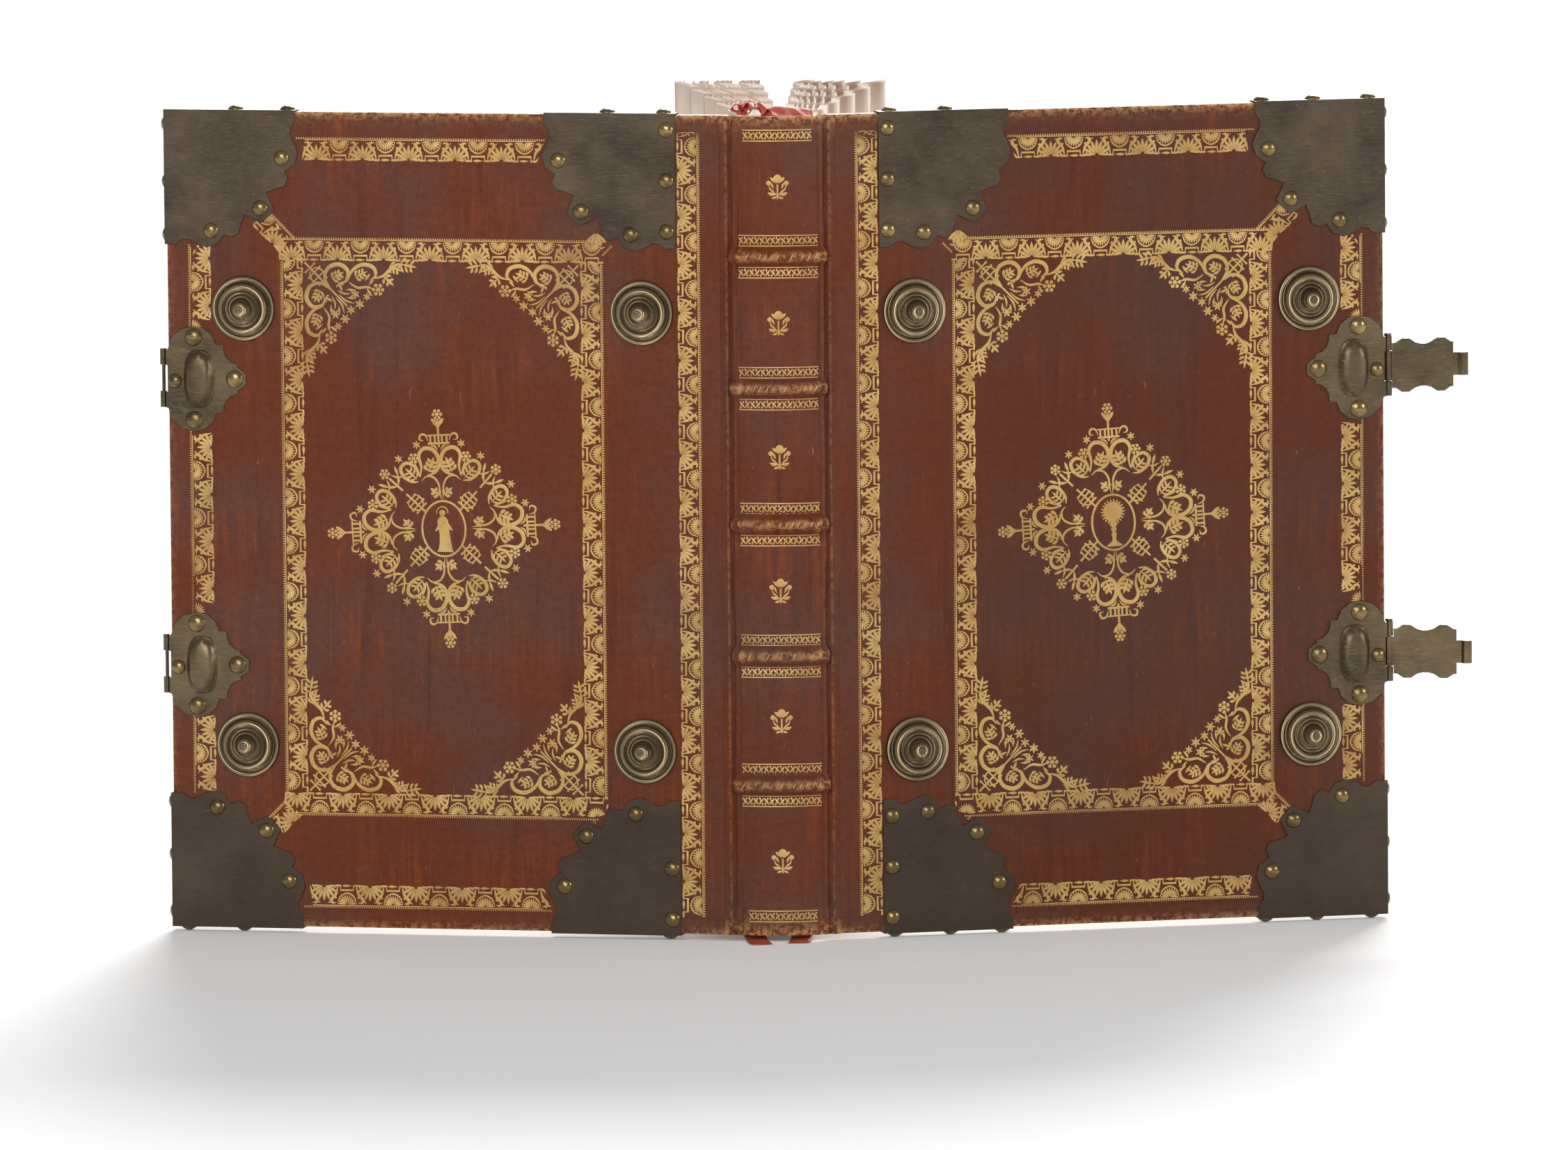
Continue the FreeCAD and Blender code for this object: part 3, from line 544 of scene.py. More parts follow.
def axisSteps(low, high):
    # An even grid, with rows crowded at the rounded edges and at the turn-ins
    near, far = window(low, high)
    crowded = [near - cover["lip"], near, far, far + cover["lip"]]
    for row in cover["edgeRows"]:
        crowded += [low + row, high - row]
    count = int((high - low) / cover["gridStep"])
    even = [low + (high - low) * i / count for i in range(count + 1)]
    kept = [e for e in even if all(abs(e - c) > cover["rowGap"] for c in crowded) or e in (low, high)]
    return np.array(sorted(set(kept + crowded)))


def slabShell(us, ws, vs):
    # The six grids of a slab, as one shell with shared edges
    index, points, faces = {}, [], []

    def vertex(i, j, k):
        key = (i, j, k)
        if key not in index:
            index[key] = len(points)
            points.append((us[i], ws[j], vs[k]))
        return index[key]

    def face(make, first, second):
        for a in range(first - 1):
            for b in range(second - 1):
                faces.append((make(a, b), make(a + 1, b), make(a + 1, b + 1), make(a, b + 1)))
    nu, nw, nv = len(us), len(ws), len(vs)
    for j in (0, nw - 1):
        face(lambda a, b: vertex(a, j, b), nu, nv)
    for i in (0, nu - 1):
        face(lambda a, b: vertex(i, a, b), nw, nv)
    for k in (0, nv - 1):
        face(lambda a, b: vertex(a, b, k), nu, nw)
    return np.array(points), faces


def fadeToEdge(flat):
    # The swell dies out towards the edges, where brass grips the board
    u, v = flat[:, 0], flat[:, 2]
    edge = np.minimum(np.minimum(u, board["width"] - u), np.minimum(v, board["height"] - v))
    return np.clip(edge / cover["calmEdge"], 0, 1)


def rubbedShare(u, w, v):
    # How rubbed the leather is: along the head and tail edges, the fore edge and the joint
    nearEnds = 1.15 * fade(board["height"] - v, 1.5) + fade(v, 1.3)
    nearFore = 0.45 * fade(board["width"] - u, 1.2)
    nearJoint = 0.25 * fade(u - 1.5, 1.2)
    nearCorner = 0.3 + 0.7 * fade(np.minimum(w, board["thickness"] - w), 0.9)
    return np.clip((nearEnds + nearFore + nearJoint) * nearCorner, 0, 1)


def buildCoverLeather(side):
    us, vs = axisSteps(cover["jointEdge"], board["width"]), axisSteps(0.0, board["height"])
    flat, faces = slabShell(us, np.array([*cover["through"], board["thickness"]]), vs)
    radius = board["edgeRadius"]
    lowest = np.array([cover["jointEdge"], 0, 0]) + radius
    highest = np.array([board["width"], board["thickness"], board["height"]]) - radius
    core = np.clip(flat, lowest, highest)
    away = flat - core
    length = np.linalg.norm(away, axis=1, keepdims=True)
    rounded = np.where(length > 1e-9, core + away / np.maximum(length, 1e-9) * radius, flat)
    papered = flat[:, 1] > board["thickness"] - hair
    across, upright = window(cover["jointEdge"], board["width"]), window(0.0, board["height"])
    for axis, (near, far) in ((0, across), (2, upright)):
        papered &= (flat[:, axis] > near - hair) & (flat[:, axis] < far + hair)
    rounded[papered, 1] -= cover["paperStep"]
    outside = flat[:, 1] < hair
    rounded[outside, 1] -= leatherSwell(flat[outside, 0], flat[outside, 2]) * fadeToEdge(flat[outside])
    piece = makeMesh(side + "_cover_leather", onCover(side, rounded), faces, leather, flat=flat)
    setShare(piece, "rub", rubbedShare(*flat.T))
    finishPiece(piece, side + "_cover", "leather", side + "_leather")


for side in sideSign:
    buildCoverLeather(side)
print("cover leather ready")


# Spine leather
spine = {
    "rise": 5.0, "leather": 1.2, "bands": (70.0, 130.0, 191.0, 254.0, 315.0), "bandWidth": 8.5,
    "bandRise": 3.0,
    "edge": 21.4, "across": 44, "step": 1.3, "sideStart": 13.5, "sideDeep": 0.3, "sideSkin": 0.4,
    "bandFill": 0.85, "bandTools": 13, "toolStep": 2.75,
}
spineHalf = halfSpacing - 0.1
spineRadius = (spineHalf ** 2 + spine["rise"] ** 2) / (2 * spine["rise"])
spineCentre = spineRadius - spine["rise"] - 0.1


def bandShape(v):
    # Rounded ridges over the sewing cords, with a slight hollow pressed beside each
    rise = np.zeros_like(v)
    for level in spine["bands"]:
        off = np.abs(v - level) / (spine["bandWidth"] / 2)
        ridge = np.clip(1 - off ** 3.2, 0, 1)
        hollow = hump(off, 1.25, 0.3)
        rise += spine["bandRise"] * ridge - 0.35 * hollow
    return rise


def spineSurface(x, v, proud=0.0):
    # Points on the spine, x across and v up, both flat millimetres
    turn = np.arcsin(np.clip(x / spineRadius, -1, 1))
    uneven = 0.22 * np.sin(v / 17.0 + x / 9.0) + 0.16 * np.sin(v / 7.3 - x / 5.0)
    ends = np.exp(-np.minimum(v, board["height"] - v) / 3.0)
    radius = spineRadius + bandShape(v) + uneven + proud - 0.9 * ends
    return np.stack([radius * np.sin(turn), spineCentre - radius * np.cos(turn), lift + v], axis=-1)


def buildSpine():
    xs = np.linspace(-spine["edge"], spine["edge"], spine["across"])
    vs = np.arange(0, board["height"] + hair, spine["step"])
    vs = np.sort(np.concatenate([vs, [0.3, 0.7, board["height"] - 0.7, board["height"] - 0.3]]))
    x, v = (values.ravel() for values in np.meshgrid(xs, vs))
    outer = spineSurface(x, v)
    inner = spineSurface(x, v, -spine["leather"] - bandShape(v) * spine["bandFill"])
    # At its sides the skin thins, clear of the boards as they close
    nearJoint = np.abs(x) > spine["sideStart"]
    outer[nearJoint, 1] = np.minimum(outer[nearJoint, 1], spine["sideDeep"] - spine["sideSkin"])
    inner[nearJoint, 1] = np.minimum(inner[nearJoint, 1], spine["sideDeep"])
    flat = np.stack([x, np.zeros(x.size), v], axis=1)
    verts, faces = np.concatenate([outer, inner]) * mm, shellFaces(len(vs), len(xs))
    flat = np.concatenate([flat, flat + (0, spine["leather"], 0)])
    piece = makeMesh("spine_skin", verts, faces, spineLeather, flat=flat)
    # Rubbed on the bands, at the head and tail and along its sides
    worn = 0.5 * np.clip(bandShape(v) / spine["bandRise"], 0, 1) ** 8
    worn += fade(v, 4.0) + 1.1 * fade(board["height"] - v, 2.5)
    worn += 0.3 * fade(np.abs(x) - 17.2, 0.8) * (bandShape(v) > 0.5)
    setShare(piece, "rub", np.tile(np.clip(worn, 0, 1), 2))
    finishPiece(piece, "spine_and_leaves", "leather", "spine_leather")


buildSpine()


# Joint leather: the groove between spine and board
groove = {
    "spineStart": 18.6, "depth": 1.1, "boardEnd": 5.0, "skin": 0.5, "step": 2.5, "columns": 15,
    "spineEnd": 0.45, "boardStart": 0.55, "spineGap": 0.9, "lapped": 0.12,
}


def buildJointLeather(side):
    # A column of points is worked out by its share of the way from the spine to the board
    sign, start = sideSign[side], groove["spineStart"]
    vs = np.arange(0, board["height"] + hair, groove["step"])
    columns = []
    for share in np.linspace(0, 1, groove["columns"]):
        if share < groove["spineEnd"]:
            x = start + (halfSpacing - groove["spineGap"] - start) * share / groove["spineEnd"]
            point = lambda v, x=x: spineSurface(np.array([x]), np.array([v]), groove["lapped"])[0]
            flatX = x
        else:
            u = groove["boardEnd"] * (share - groove["boardStart"]) / groove["spineEnd"]
            point = lambda v, u=u: onCover("front", [(u, -groove["lapped"], v)])[0] / mm
            flatX = halfSpacing + u
        dip = groove["depth"] * hump(share, 0.5, 0.1)
        columns.append((flatX, point, dip, share))
    outer, inner, flat = [], [], []
    for v in vs:
        wrinkle = 0.25 * sin(v / 6.1) + 0.2 * sin(v / 2.7 + 1.3)
        for flatX, point, dip, share in columns:
            p = np.array(point(v))
            sink = dip * (1 + 0.35 * wrinkle) - 0.5 * hump(share, 0.72, 0.1)
            fold = 1 if 0.1 < share < 0.9 else 0
            outer.append(p + (0, sink + 0.06 * wrinkle * fold, 0))
            inner.append(p + (0, sink + groove["skin"], 0))
            flat.append((flatX, 0, v))
    verts = np.array(outer + inner) * mm
    verts[:, 0] *= sign
    faces = shellFaces(len(vs), len(columns))
    piece = makeMesh(side + "_joint_leather", verts, faces, spineLeather, flat=flat + flat)
    share = np.array([c[3] for c in columns] * len(vs))
    v = np.repeat(vs, len(columns))
    worn = 0.22 * hump(share, 0.72, 0.05) + 0.16 * hump(share, 0.32, 0.05)
    worn += fade(v, 3.0) + fade(board["height"] - v, 3.0)
    setShare(piece, "rub", np.tile(np.clip(worn, 0, 1), 2))
    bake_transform(piece)


for side in sideSign:
    buildJointLeather(side)
print("spine leather ready")


# Leaves: gatherings fanned out behind the spine, cockled along their length
leaves = {
    "length": 256.0, "square": 5.0, "baseDepth": 13.0, "footLength": 12.0, "blockHalf": 14.0, "bend": 1.35,
    "wave": 1.9, "cockles": 6.2, "smallCockles": 7.1, "sheet": 0.3, "pitch": 1.0, "along": 64, "up": 12,
    "closedKeep": 0.25, "headRise": 2.4, "rootColumns": 57, "rootRows": 5, "rootRidge": 0.25, "rootLap": 2.0,
    # Where each bunch ends, how thick it is there, and its share of the spine
    "bunches": (
        (-41.0, 4.6, 3.1), (-34.6, 0.9, 0.9), (-30.0, 3.8, 2.5), (-20.8, 8.0, 5.0), (-8.6, 8.0, 5.0),
        (17.6, 5.0, 3.4), (23.6, 1.0, 1.0), (29.0, 1.0, 1.0), (34.6, 1.0, 1.0), (42.4, 1.4, 1.0),
        (53.0, 4.6, 3.2),
    ),
}
leafTail = lift + leaves["square"]
leafHead = lift + board["height"] - leaves["square"]


def sag(y):
    # How far the leaves have sunk towards the floor at a depth behind the spine
    foot = leaves["length"] - leaves["footLength"]
    return leafTail * np.clip((y - leaves["baseDepth"]) / (foot - leaves["baseDepth"]), 0, 1)


def leafSheet(nearX, farX, nearThick, phase, curl):
    # One leaf as a thin closed sheet: out from the spine, and up from the tail edge
    out, up = np.meshgrid(np.linspace(0, 1, leaves["along"]), np.linspace(0, 1, leaves["up"]) ** 0.8)
    depth = leaves["length"] - leaves["baseDepth"]
    y = leaves["baseDepth"] + (sqrt(depth ** 2 - (farX - nearX) ** 2) - rng.uniform(0, 1.5)) * out
    turn = 2 * pi * leaves["cockles"] * out + phase
    ripple = np.sin(turn) + 0.4 * np.sin(2 * pi * leaves["smallCockles"] * out + 2 * phase)
    strength = leaves["wave"] * np.clip(out * 1.6, 0, 1) * (0.25 + 0.75 * np.abs(2 * up - 1) ** 1.5)
    x = nearX + (farX - nearX) * out ** leaves["bend"] + strength * ripple + curl * out ** 3
    bottom = leafTail - sag(y)
    z = bottom + (leafHead + leaves["headRise"] * out - bottom) * up
    thick = (nearThick * (1 - out) ** 4 + leaves["sheet"]) / 2
    left = np.stack([x - thick, y, z], -1).reshape(-1, 3)
    right = np.stack([x + thick, y, z], -1).reshape(-1, 3)
    # Dust lies on the head edge and on the fore edge; near the head edge the cockles' faces that turn one way also
    # get painted shade
    dustAndShade = np.clip((up - 0.90) / 0.08, 0, 1) * (0.18 + 0.62 * np.clip(np.cos(turn), 0, 1))
    dustAndShade += 0.5 * np.clip((out - 0.985) / 0.015, 0, 1)
    return np.concatenate([left, right]) * mm, shellFaces(*out.shape), np.tile(np.clip(dustAndShade.ravel(), 0, 1), 2)


def buildLeaves():
    total = sum(bunch[2] for bunch in leaves["bunches"])
    scale = 2 * leaves["blockHalf"] / total
    left = -leaves["blockHalf"]
    for number, (far, thick, share) in enumerate(leaves["bunches"]):
        width = share * scale
        count = max(1, round(thick / leaves["pitch"]))
        bag = Bag()
        dustAndShade = []
        for leaf in range(count):
            place = (leaf + 0.5) / count
            near = left + width * place
            farX = far - thick / 2 + thick * place
            phase = 0.25 * far / 10 + rng.uniform(-0.25, 0.25)
            verts, faces, leafDustAndShade = leafSheet(near, farX, 0.92 * width / count, phase, rng.uniform(-0.3, 0.3))
            bag.add(verts, faces)
            dustAndShade.append(leafDustAndShade)
        piece = makeMesh(f"gathering_{number + 1:02d}", bag.points(), bag.faces, leafPaper)
        setShare(piece, "dustAndShade", np.concatenate(dustAndShade))
        finishPiece(piece, "spine_and_leaves", "leaves", "text_block")
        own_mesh(piece)
        left += width


buildLeaves()


def buildLeafRoot():
    # The pressed part of the leaves, between the spine and the fan
    rows, columns = leaves["rootRows"], leaves["rootColumns"]
    xs = np.linspace(-leaves["blockHalf"], leaves["blockHalf"], columns)
    back = spineCentre - np.sqrt((spineRadius - spine["leather"] - 0.3) ** 2 - xs ** 2)
    ridge = leaves["rootRidge"] * (np.arange(columns) % 2)
    verts = []
    for z, way in ((leafTail, -1), (leafHead, 1)):
        for depth in np.linspace(0, 1, rows):
            y = back + (leaves["baseDepth"] + leaves["rootLap"] - back) * depth
            verts.append(np.stack([xs, y, z - ridge * way], axis=1))
    faces = gridFaces(rows, columns) + gridFaces(rows, columns, start=rows * columns)
    faces += rimFaces(rows, columns)
    piece = makeMesh("leaf_root", np.concatenate(verts) * mm, faces, leafPaper, smooth=False)
    finishPiece(piece, "spine_and_leaves", "leaves", "text_block")


buildLeafRoot()
print("leaves ready")


# Turned bosses
bossShape = (
    (15.0, 0.0), (15.0, 1.5), (14.5, 2.0), (13.6, 2.1), (13.1, 1.6), (12.4, 1.5), (11.9, 2.2), (11.3, 4.2),
    (10.4, 4.9), (9.5, 4.7), (8.8, 3.9), (8.3, 3.8), (8.0, 4.3), (7.5, 4.4), (7.2, 4.0), (6.6, 4.2),
    (6.2, 4.9), (5.7, 4.9), (5.4, 4.7), (4.9, 5.3), (4.5, 6.4), (3.9, 7.2), (3.5, 7.3), (3.3, 7.8),
    (3.4, 8.6), (3.1, 9.4), (2.2, 9.9), (1.0, 10.0), (0.0, 10.0),
)


boss = {
    "turns": 64, "rounding": 2, "lean": 0.02,
    "rimReach": 1.6, "rimRise": 0.5, "rimShine": 0.75, "knobShine": 0.7,
}


def standing(points, side, u, v):
    # A form drawn along +Z set on the cover's outer face
    x, y, z = np.asarray(points).T
    return onCover(side, np.stack([u + x, -z, v + y], axis=1))


def rimPolish(profile):
    # Rims that stand above their surroundings are rubbed bright
    polish = []
    for radius, height in profile:
        near = [h for r, h in profile if abs(r - radius) < boss["rimReach"]]
        proud = (height - sum(near) / len(near)) / boss["rimRise"]
        polish += [boss["rimShine"] * min(1.0, max(0.0, proud))] * boss["turns"]
    return polish + [boss["knobShine"]]


def buildBosses(side):
    profile = smoothProfile(bossShape, boss["rounding"])
    for corner in ("head_fore", "tail_fore", "head_spine", "tail_spine"):
        node = f"{side}_{corner}_boss"
        places = coverPlaces(side, [v.co for v in frame["nodes"][node].data.vertices])
        u, w, v = (places.min(axis=0) + places.max(axis=0)) / 2
        verts, faces = lathe(profile, boss["turns"])
        # Each boss was turned by hand: a slight lean and a worn knob
        verts[:, 2] *= 1 - boss["lean"] * rng.random()
        verts[:, 0] += boss["lean"] * rng.uniform(-1, 1) * verts[:, 2]
        piece = makeMesh(f"{side}_{corner}_stud", standing(verts, side, u, v), faces, brass["boss"])
        setShare(piece, "polish", rimPolish(profile))
        finishPiece(piece, side + "_cover", "plate_brass", node)


for side in sideSign:
    buildBosses(side)


# The raised oblong in the middle of each plate, struck from the back
dome = {
    "across": 13.8, "tall": 25.6, "squareness": 2.7, "inset": 15.0, "plate": 0.8, "sunk": 0.02, "turns": 56,
    "profile": ((1.06, 0.0), (1.05, 0.25), (0.99, 0.5), (0.93, 0.95), (0.86, 1.7), (0.77, 2.5), (0.64, 3.05),
                (0.46, 3.35), (0.25, 3.48), (0.0, 3.5)),
}


def buildDomes(side):
    verts, faces = lathe(dome["profile"], dome["turns"])
    power = dome["squareness"]
    around = np.arctan2(verts[:, 1], verts[:, 0])
    roundness = (np.abs(np.cos(around)) ** power + np.abs(np.sin(around)) ** power) ** (1 / power)
    verts[:, :2] = verts[:, :2] / roundness[:, None] * (dome["across"] / 2, dome["tall"] / 2)
    verts[:, 2] += dome["plate"] - dome["sunk"]
    bag = Bag()
    for level in fasteningLevels:
        bag.add(standing(verts, side, board["width"] - dome["inset"], level), faces)
    piece = makeMesh(f"{side}_plate_domes", bag.points(), bag.faces, brass["clasp"])
    finishPiece(piece, side + "_cover", "clasp_brass")


# Nails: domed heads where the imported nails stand
nail = {
    "shape": ((1.0, 0.0), (1.02, 0.22), (0.97, 0.5), (0.86, 0.9), (0.66, 1.45), (0.4, 1.85), (0.15, 1.98),
              (0.0, 2.0)),
    "turns": 28, "over": 1.04, "seat": 0.8, "past": 1.0,
}


def islands(node):
    # The separate nails of a group, each as its own points
    mesh = frame["nodes"][node].data
    parent = list(range(len(mesh.vertices)))

    def root(i):
        while parent[i] != i:
            parent[i] = parent[parent[i]]
            i = parent[i]
        return i
    keys = {}
    for v in mesh.vertices:
        key = tuple(round(c / mm, 2) for c in v.co)
        if key in keys:
            parent[root(v.index)] = root(keys[key])
        keys[key] = v.index
    for edge in mesh.edges:
        parent[root(edge.vertices[0])] = root(edge.vertices[1])
    groups = {}
    for v in mesh.vertices:
        groups.setdefault(root(v.index), []).append(tuple(v.co))
    return [np.array(g) for g in groups.values()]


def buildNails(side, node):
    bag = Bag()
    seat, past = nail["seat"], nail["past"]
    for points in islands(node):
        flat = coverPlaces(side, points)
        low, high = flat.min(axis=0), flat.max(axis=0)
        # The face it stands on is the one that it reaches past
        if low[1] < -past:
            axis, way, level = 1, -1, -seat
        elif high[2] > board["height"] + past:
            axis, way, level = 2, 1, board["height"] + seat
        elif low[2] < -past:
            axis, way, level = 2, -1, -seat
        else:
            axis, way, level = 0, 1, board["width"] + seat
        base = (low + high) / 2
        base[axis] = level
        beside = 1 if axis == 0 else 0
        radius = (high[beside] - low[beside]) / 2
        verts, faces = lathe([(r * radius * nail["over"], h) for r, h in nail["shape"]], nail["turns"])
        verts[:, 0] *= 1 + rng.uniform(-0.03, 0.03)
        verts[:, 2] *= 1 + rng.uniform(-0.08, 0.0)
        out, across = way * np.eye(3)[axis], np.eye(3)[beside]
        head = base + verts[:, :1] * across + verts[:, 1:2] * np.cross(out, across) + verts[:, 2:] * out
        bag.add(onCover(side, head), faces)
    piece = makeMesh(node + "_heads", bag.points(), bag.faces, brass["nail"])
    finishPiece(piece, side + "_cover", "nail_brass", node)


for side in sideSign:
    buildDomes(side)
    for group in ("corner_nails", "tail_nails", "plate_nails"):
        buildNails(side, f"{side}_{group}")
print("bosses and nails ready")


# Gilt tooling. A stroke is a line of points with its widths, in the cover's flat millimetres
tooling = {
    "roll": 11.0, "repeat": 22.0, "tooth": 1.1, "smooth": 4, "proud": 0.12, "edgeProud": 0.03, "turn": 3.0,
}


def stroke(points, widths):
    points = np.array(points, float)
    widths = np.full(len(points), widths, float) if np.isscalar(widths) else np.array(widths, float)
    return [(points, widths)]


def crescent(points, width):
    # A smooth stroke through a few points, swelling in the middle
    share = np.linspace(0, 1, len(points))
    swell = width * (0.25 + 0.75 * np.sin(pi * share) ** 0.8)
    line = smoothLine(np.column_stack([np.array(points, float), swell]), tooling["smooth"])
    return [(line[:, :2], np.clip(line[:, 2], 0.2, None))]


def petal(x, y, angle, length, width, bend=0.0, count=5):
    share = np.linspace(0, 1, count)
    turns = angle + bend * (share[:-1] - 0.5) * 2
    step = length / (count - 1)
    xs = x + np.concatenate([[0], np.cumsum(np.cos(turns) * step)])
    ys = y + np.concatenate([[0], np.cumsum(np.sin(turns) * step)])
    return [(np.stack([xs, ys], 1), width * np.clip(np.sin(pi * share ** 1.3), 0.14, 1))]


def disc(x, y, radius, count=5):
    share = np.linspace(-1, 1, count)
    widths = 2 * radius * np.sqrt(np.clip(1 - share ** 2, 0.05, 1))
    return [(np.stack([x + radius * share, np.full(count, y, float)], 1), widths)]


def star(x, y, radius, arms=6):
    shape = []
    for arm in range(arms):
        shape += petal(x, y, 2 * pi * arm / arms + pi / 2, radius, radius * 0.44, count=3)
    return shape


def fan(x, y, angle, spread, count, length, width):
    shape = []
    for i in range(count):
        turn = angle + spread * (i / (count - 1) - 0.5)
        start = 0.14 * length
        shape += petal(x + start * cos(turn), y + start * sin(turn), turn, 0.86 * length, width)
    return shape


def sprig(x, y, angle, length, pairs, width):
    # A stem with pairs of leaves and one at its tip
    shape = petal(x, y, angle, length, width * 0.8)
    for i in range(pairs):
        share = (i + 0.4) / (pairs + 0.8)
        size = length * 0.52 * (1 - 0.4 * share)
        px, py = x + cos(angle) * length * share, y + sin(angle) * length * share
        for way in (-1, 1):
            shape += petal(px, py, angle + way * 0.9, size, width * 0.8, -way * 0.5, 4)
    return shape


def blossom(x, y, radius, petals=6):
    shape = disc(x, y, radius * 0.36)
    for i in range(petals):
        turn = 2 * pi * i / petals
        shape += petal(x + 0.4 * radius * cos(turn), y + 0.4 * radius * sin(turn), turn,
                       0.64 * radius, 0.72 * radius, count=4)
    return shape


def placed(shape, x=0.0, y=0.0, angle=0.0, stretch=(1, 1)):
    c, s = cos(angle), sin(angle)
    turned = []
    for points, widths in shape:
        px, py = points[:, 0] * stretch[0], points[:, 1] * stretch[1]
        turned.append((np.stack([x + c * px - s * py, y + s * px + c * py], 1), widths))
    return turned


def mirrored(half):
    # The shape and its mirror image about the y axis
    return half + placed(half, stretch=(-1, 1))


def swapped(half):
    # The shape and its mirror image about the diagonal
    return half + [(points[:, ::-1].copy(), widths) for points, widths in half]


def rollTile():
    # One repeat of the border roll: x along it, y across it from the toothed edge
    length = tooling["repeat"]
    shape = []
    teeth = round(length / tooling["tooth"])
    for i in range(teeth):
        x = (i + 0.5) * length / teeth
        shape += stroke([(x, 0.1), (x, 1.0)], (0.2, 0.85))
    shape += stroke([(0, 1.35), (length, 1.35)], 0.4)
    # The half shell under the line
    shape += fan(5.5, 1.8, pi / 2, 2.9, 11, 4.6, 0.85)
    shape += crescent([(0.9, 2.1), (2.2, 5.4), (5.5, 7.1), (8.8, 5.4), (10.1, 2.1)], 0.75)
    # The strap that steps along the inner edge
    shape += stroke([(0, 10.6), (2.4, 10.6), (2.4, 8.5), (8.6, 8.5), (8.6, 10.6), (11.0, 10.6)], 0.95)
    shape += petal(3.4, 10.5, 0.0, 4.4, 1.3)
    # The palmette that grows from it
    palmette = fan(0, 10.7, -pi / 2, 2.2, 7, 7.2, 1.5)
    half = crescent([(6.6, 10.4), (5.6, 6.6), (3.6, 4.2), (3.9, 2.6), (5.6, 2.6)], 1.5)
    half += petal(0.8, 10.5, 0.12, 4.6, 1.3, 0.3) + petal(4.2, 8.6, 1.0, 3.0, 0.9)
    half += petal(1.6, 2.4, 0.5, 3.0, 0.9) + disc(5.5, 5.0, 0.62, 4)
    shape += placed(palmette + mirrored(half), x=16.5)
    return shape


def alongRoll(tile, start, end, origin, direction, across, skip=0.0):
    # The tile laid end to end from start to end, and cut off there
    shape = []
    length = tooling["repeat"]
    (ox, oy), (dx, dy), (ax, ay) = origin, direction, across
    for repeat in range(int((end - start + skip) / length) + 1):
        for points, widths in tile:
            along = points[:, 0] + start - skip + repeat * length
            if along.max() <= start or along.min() >= end:
                continue
            along = np.clip(along, start, end)
            deep = points[:, 1]
            shape.append((np.stack([ox + dx * along + ax * deep, oy + dy * along + ay * deep], 1), widths))
    return shape


def cutAway(shape, blocked, wholly=False):
    # Drops the strokes that would lie under brass, or only those that lie there wholly
    test = np.all if wholly else np.any
    return [(p, w) for p, w in shape if not test(blocked(p[:, 0], p[:, 1]))]


def ribbonFaces(counts):
    # Faces of strokes made of a left edge, a ridge and a right edge
    faces, first = [], 0
    for count in counts:
        for i in range(count - 1):
            a, b, c = first + i, first + count + i, first + 2 * count + i
            faces += [(a, a + 1, b + 1, b), (b, b + 1, c + 1, c)]
        first += 3 * count
    return faces


def strokeEdges(points, widths, low, high):
    # The three lines of a stroke: edge, ridge, edge, with how proud each one is
    step = np.gradient(points, axis=0)
    size = np.maximum(np.linalg.norm(step, axis=1, keepdims=True), 1e-6)
    across = np.stack([-step[:, 1], step[:, 0]], 1) / size
    for shift, proud in ((-1, low), (0, high), (1, low)):
        yield points + across * widths[:, None] / 2 * shift, proud


def goldMesh(name, side, shape):
    verts = []
    for points, widths in shape:
        for at, proud in strokeEdges(points, widths, tooling["edgeProud"], tooling["proud"]):
            verts.append(np.stack([at[:, 0], -proud - leatherSwell(at[:, 0], at[:, 1]), at[:, 1]], 1))
    faces = ribbonFaces([len(points) for points, widths in shape])
    return makeMesh(name, onCover(side, np.concatenate(verts)), faces, gold, tidy=False)


border = {
    "jointStart": 14.0, "jointMargin": 8.0, "insetFore": 10.0, "insetHead": 11.5, "insetTail": 9.0,
    "frameJoint": 60.0, "frameFore": 54.0, "frameTail": 52.0, "frameHead": 58.0,
    "cornerStart": 25.5, "cornerReach": 62.0, "lobe": 1.46, "plateDeep": 34.0, "plateHalf": 22.5,
    "diagonal": 12.5,
}


def underCorner(u, v):
    # Under a brass corner piece, roughly a quarter disc with a lobed rim
    reach = border["cornerReach"]
    up = np.minimum(v, board["height"] - v)
    blocked = np.zeros(u.shape, bool)
    for across, least in ((board["width"] - u, -1.0), (u - border["cornerStart"], 0.0)):
        inside = (across > least) & (across < reach) & (up < reach)
        blocked |= inside & (across + up < border["lobe"] * reach)
    return blocked


def underPlate(u, v):
    blocked = np.zeros(u.shape, bool)
    for level in fasteningLevels:
        blocked |= (board["width"] - u < border["plateDeep"]) & (np.abs(v - level) < border["plateHalf"])
    return blocked


def bordersShape():
    tile, roll = rollTile(), tooling["roll"]
    high, low = board["height"] - border["insetHead"], border["insetTail"]
    far = board["width"] - border["insetFore"]
    margin = border["jointMargin"]
    shape = alongRoll(tile, margin, board["height"] - margin, (border["jointStart"], 0), (0, 1), (1, 0))
    shape += alongRoll(tile, border["cornerStart"], far, (0, high), (1, 0), (0, -1))
    shape += alongRoll(tile, border["cornerStart"], far, (0, low), (1, 0), (0, 1))
    shape += alongRoll(tile, low + 2 * roll, high - 2 * roll, (far, 0), (0, 1), (-1, 0))
    return cutAway(shape, lambda u, v: underCorner(u, v) | underPlate(u, v))


def frameEdges():
    return (border["frameJoint"], board["width"] - border["frameFore"],
            border["frameTail"], board["height"] - border["frameHead"])


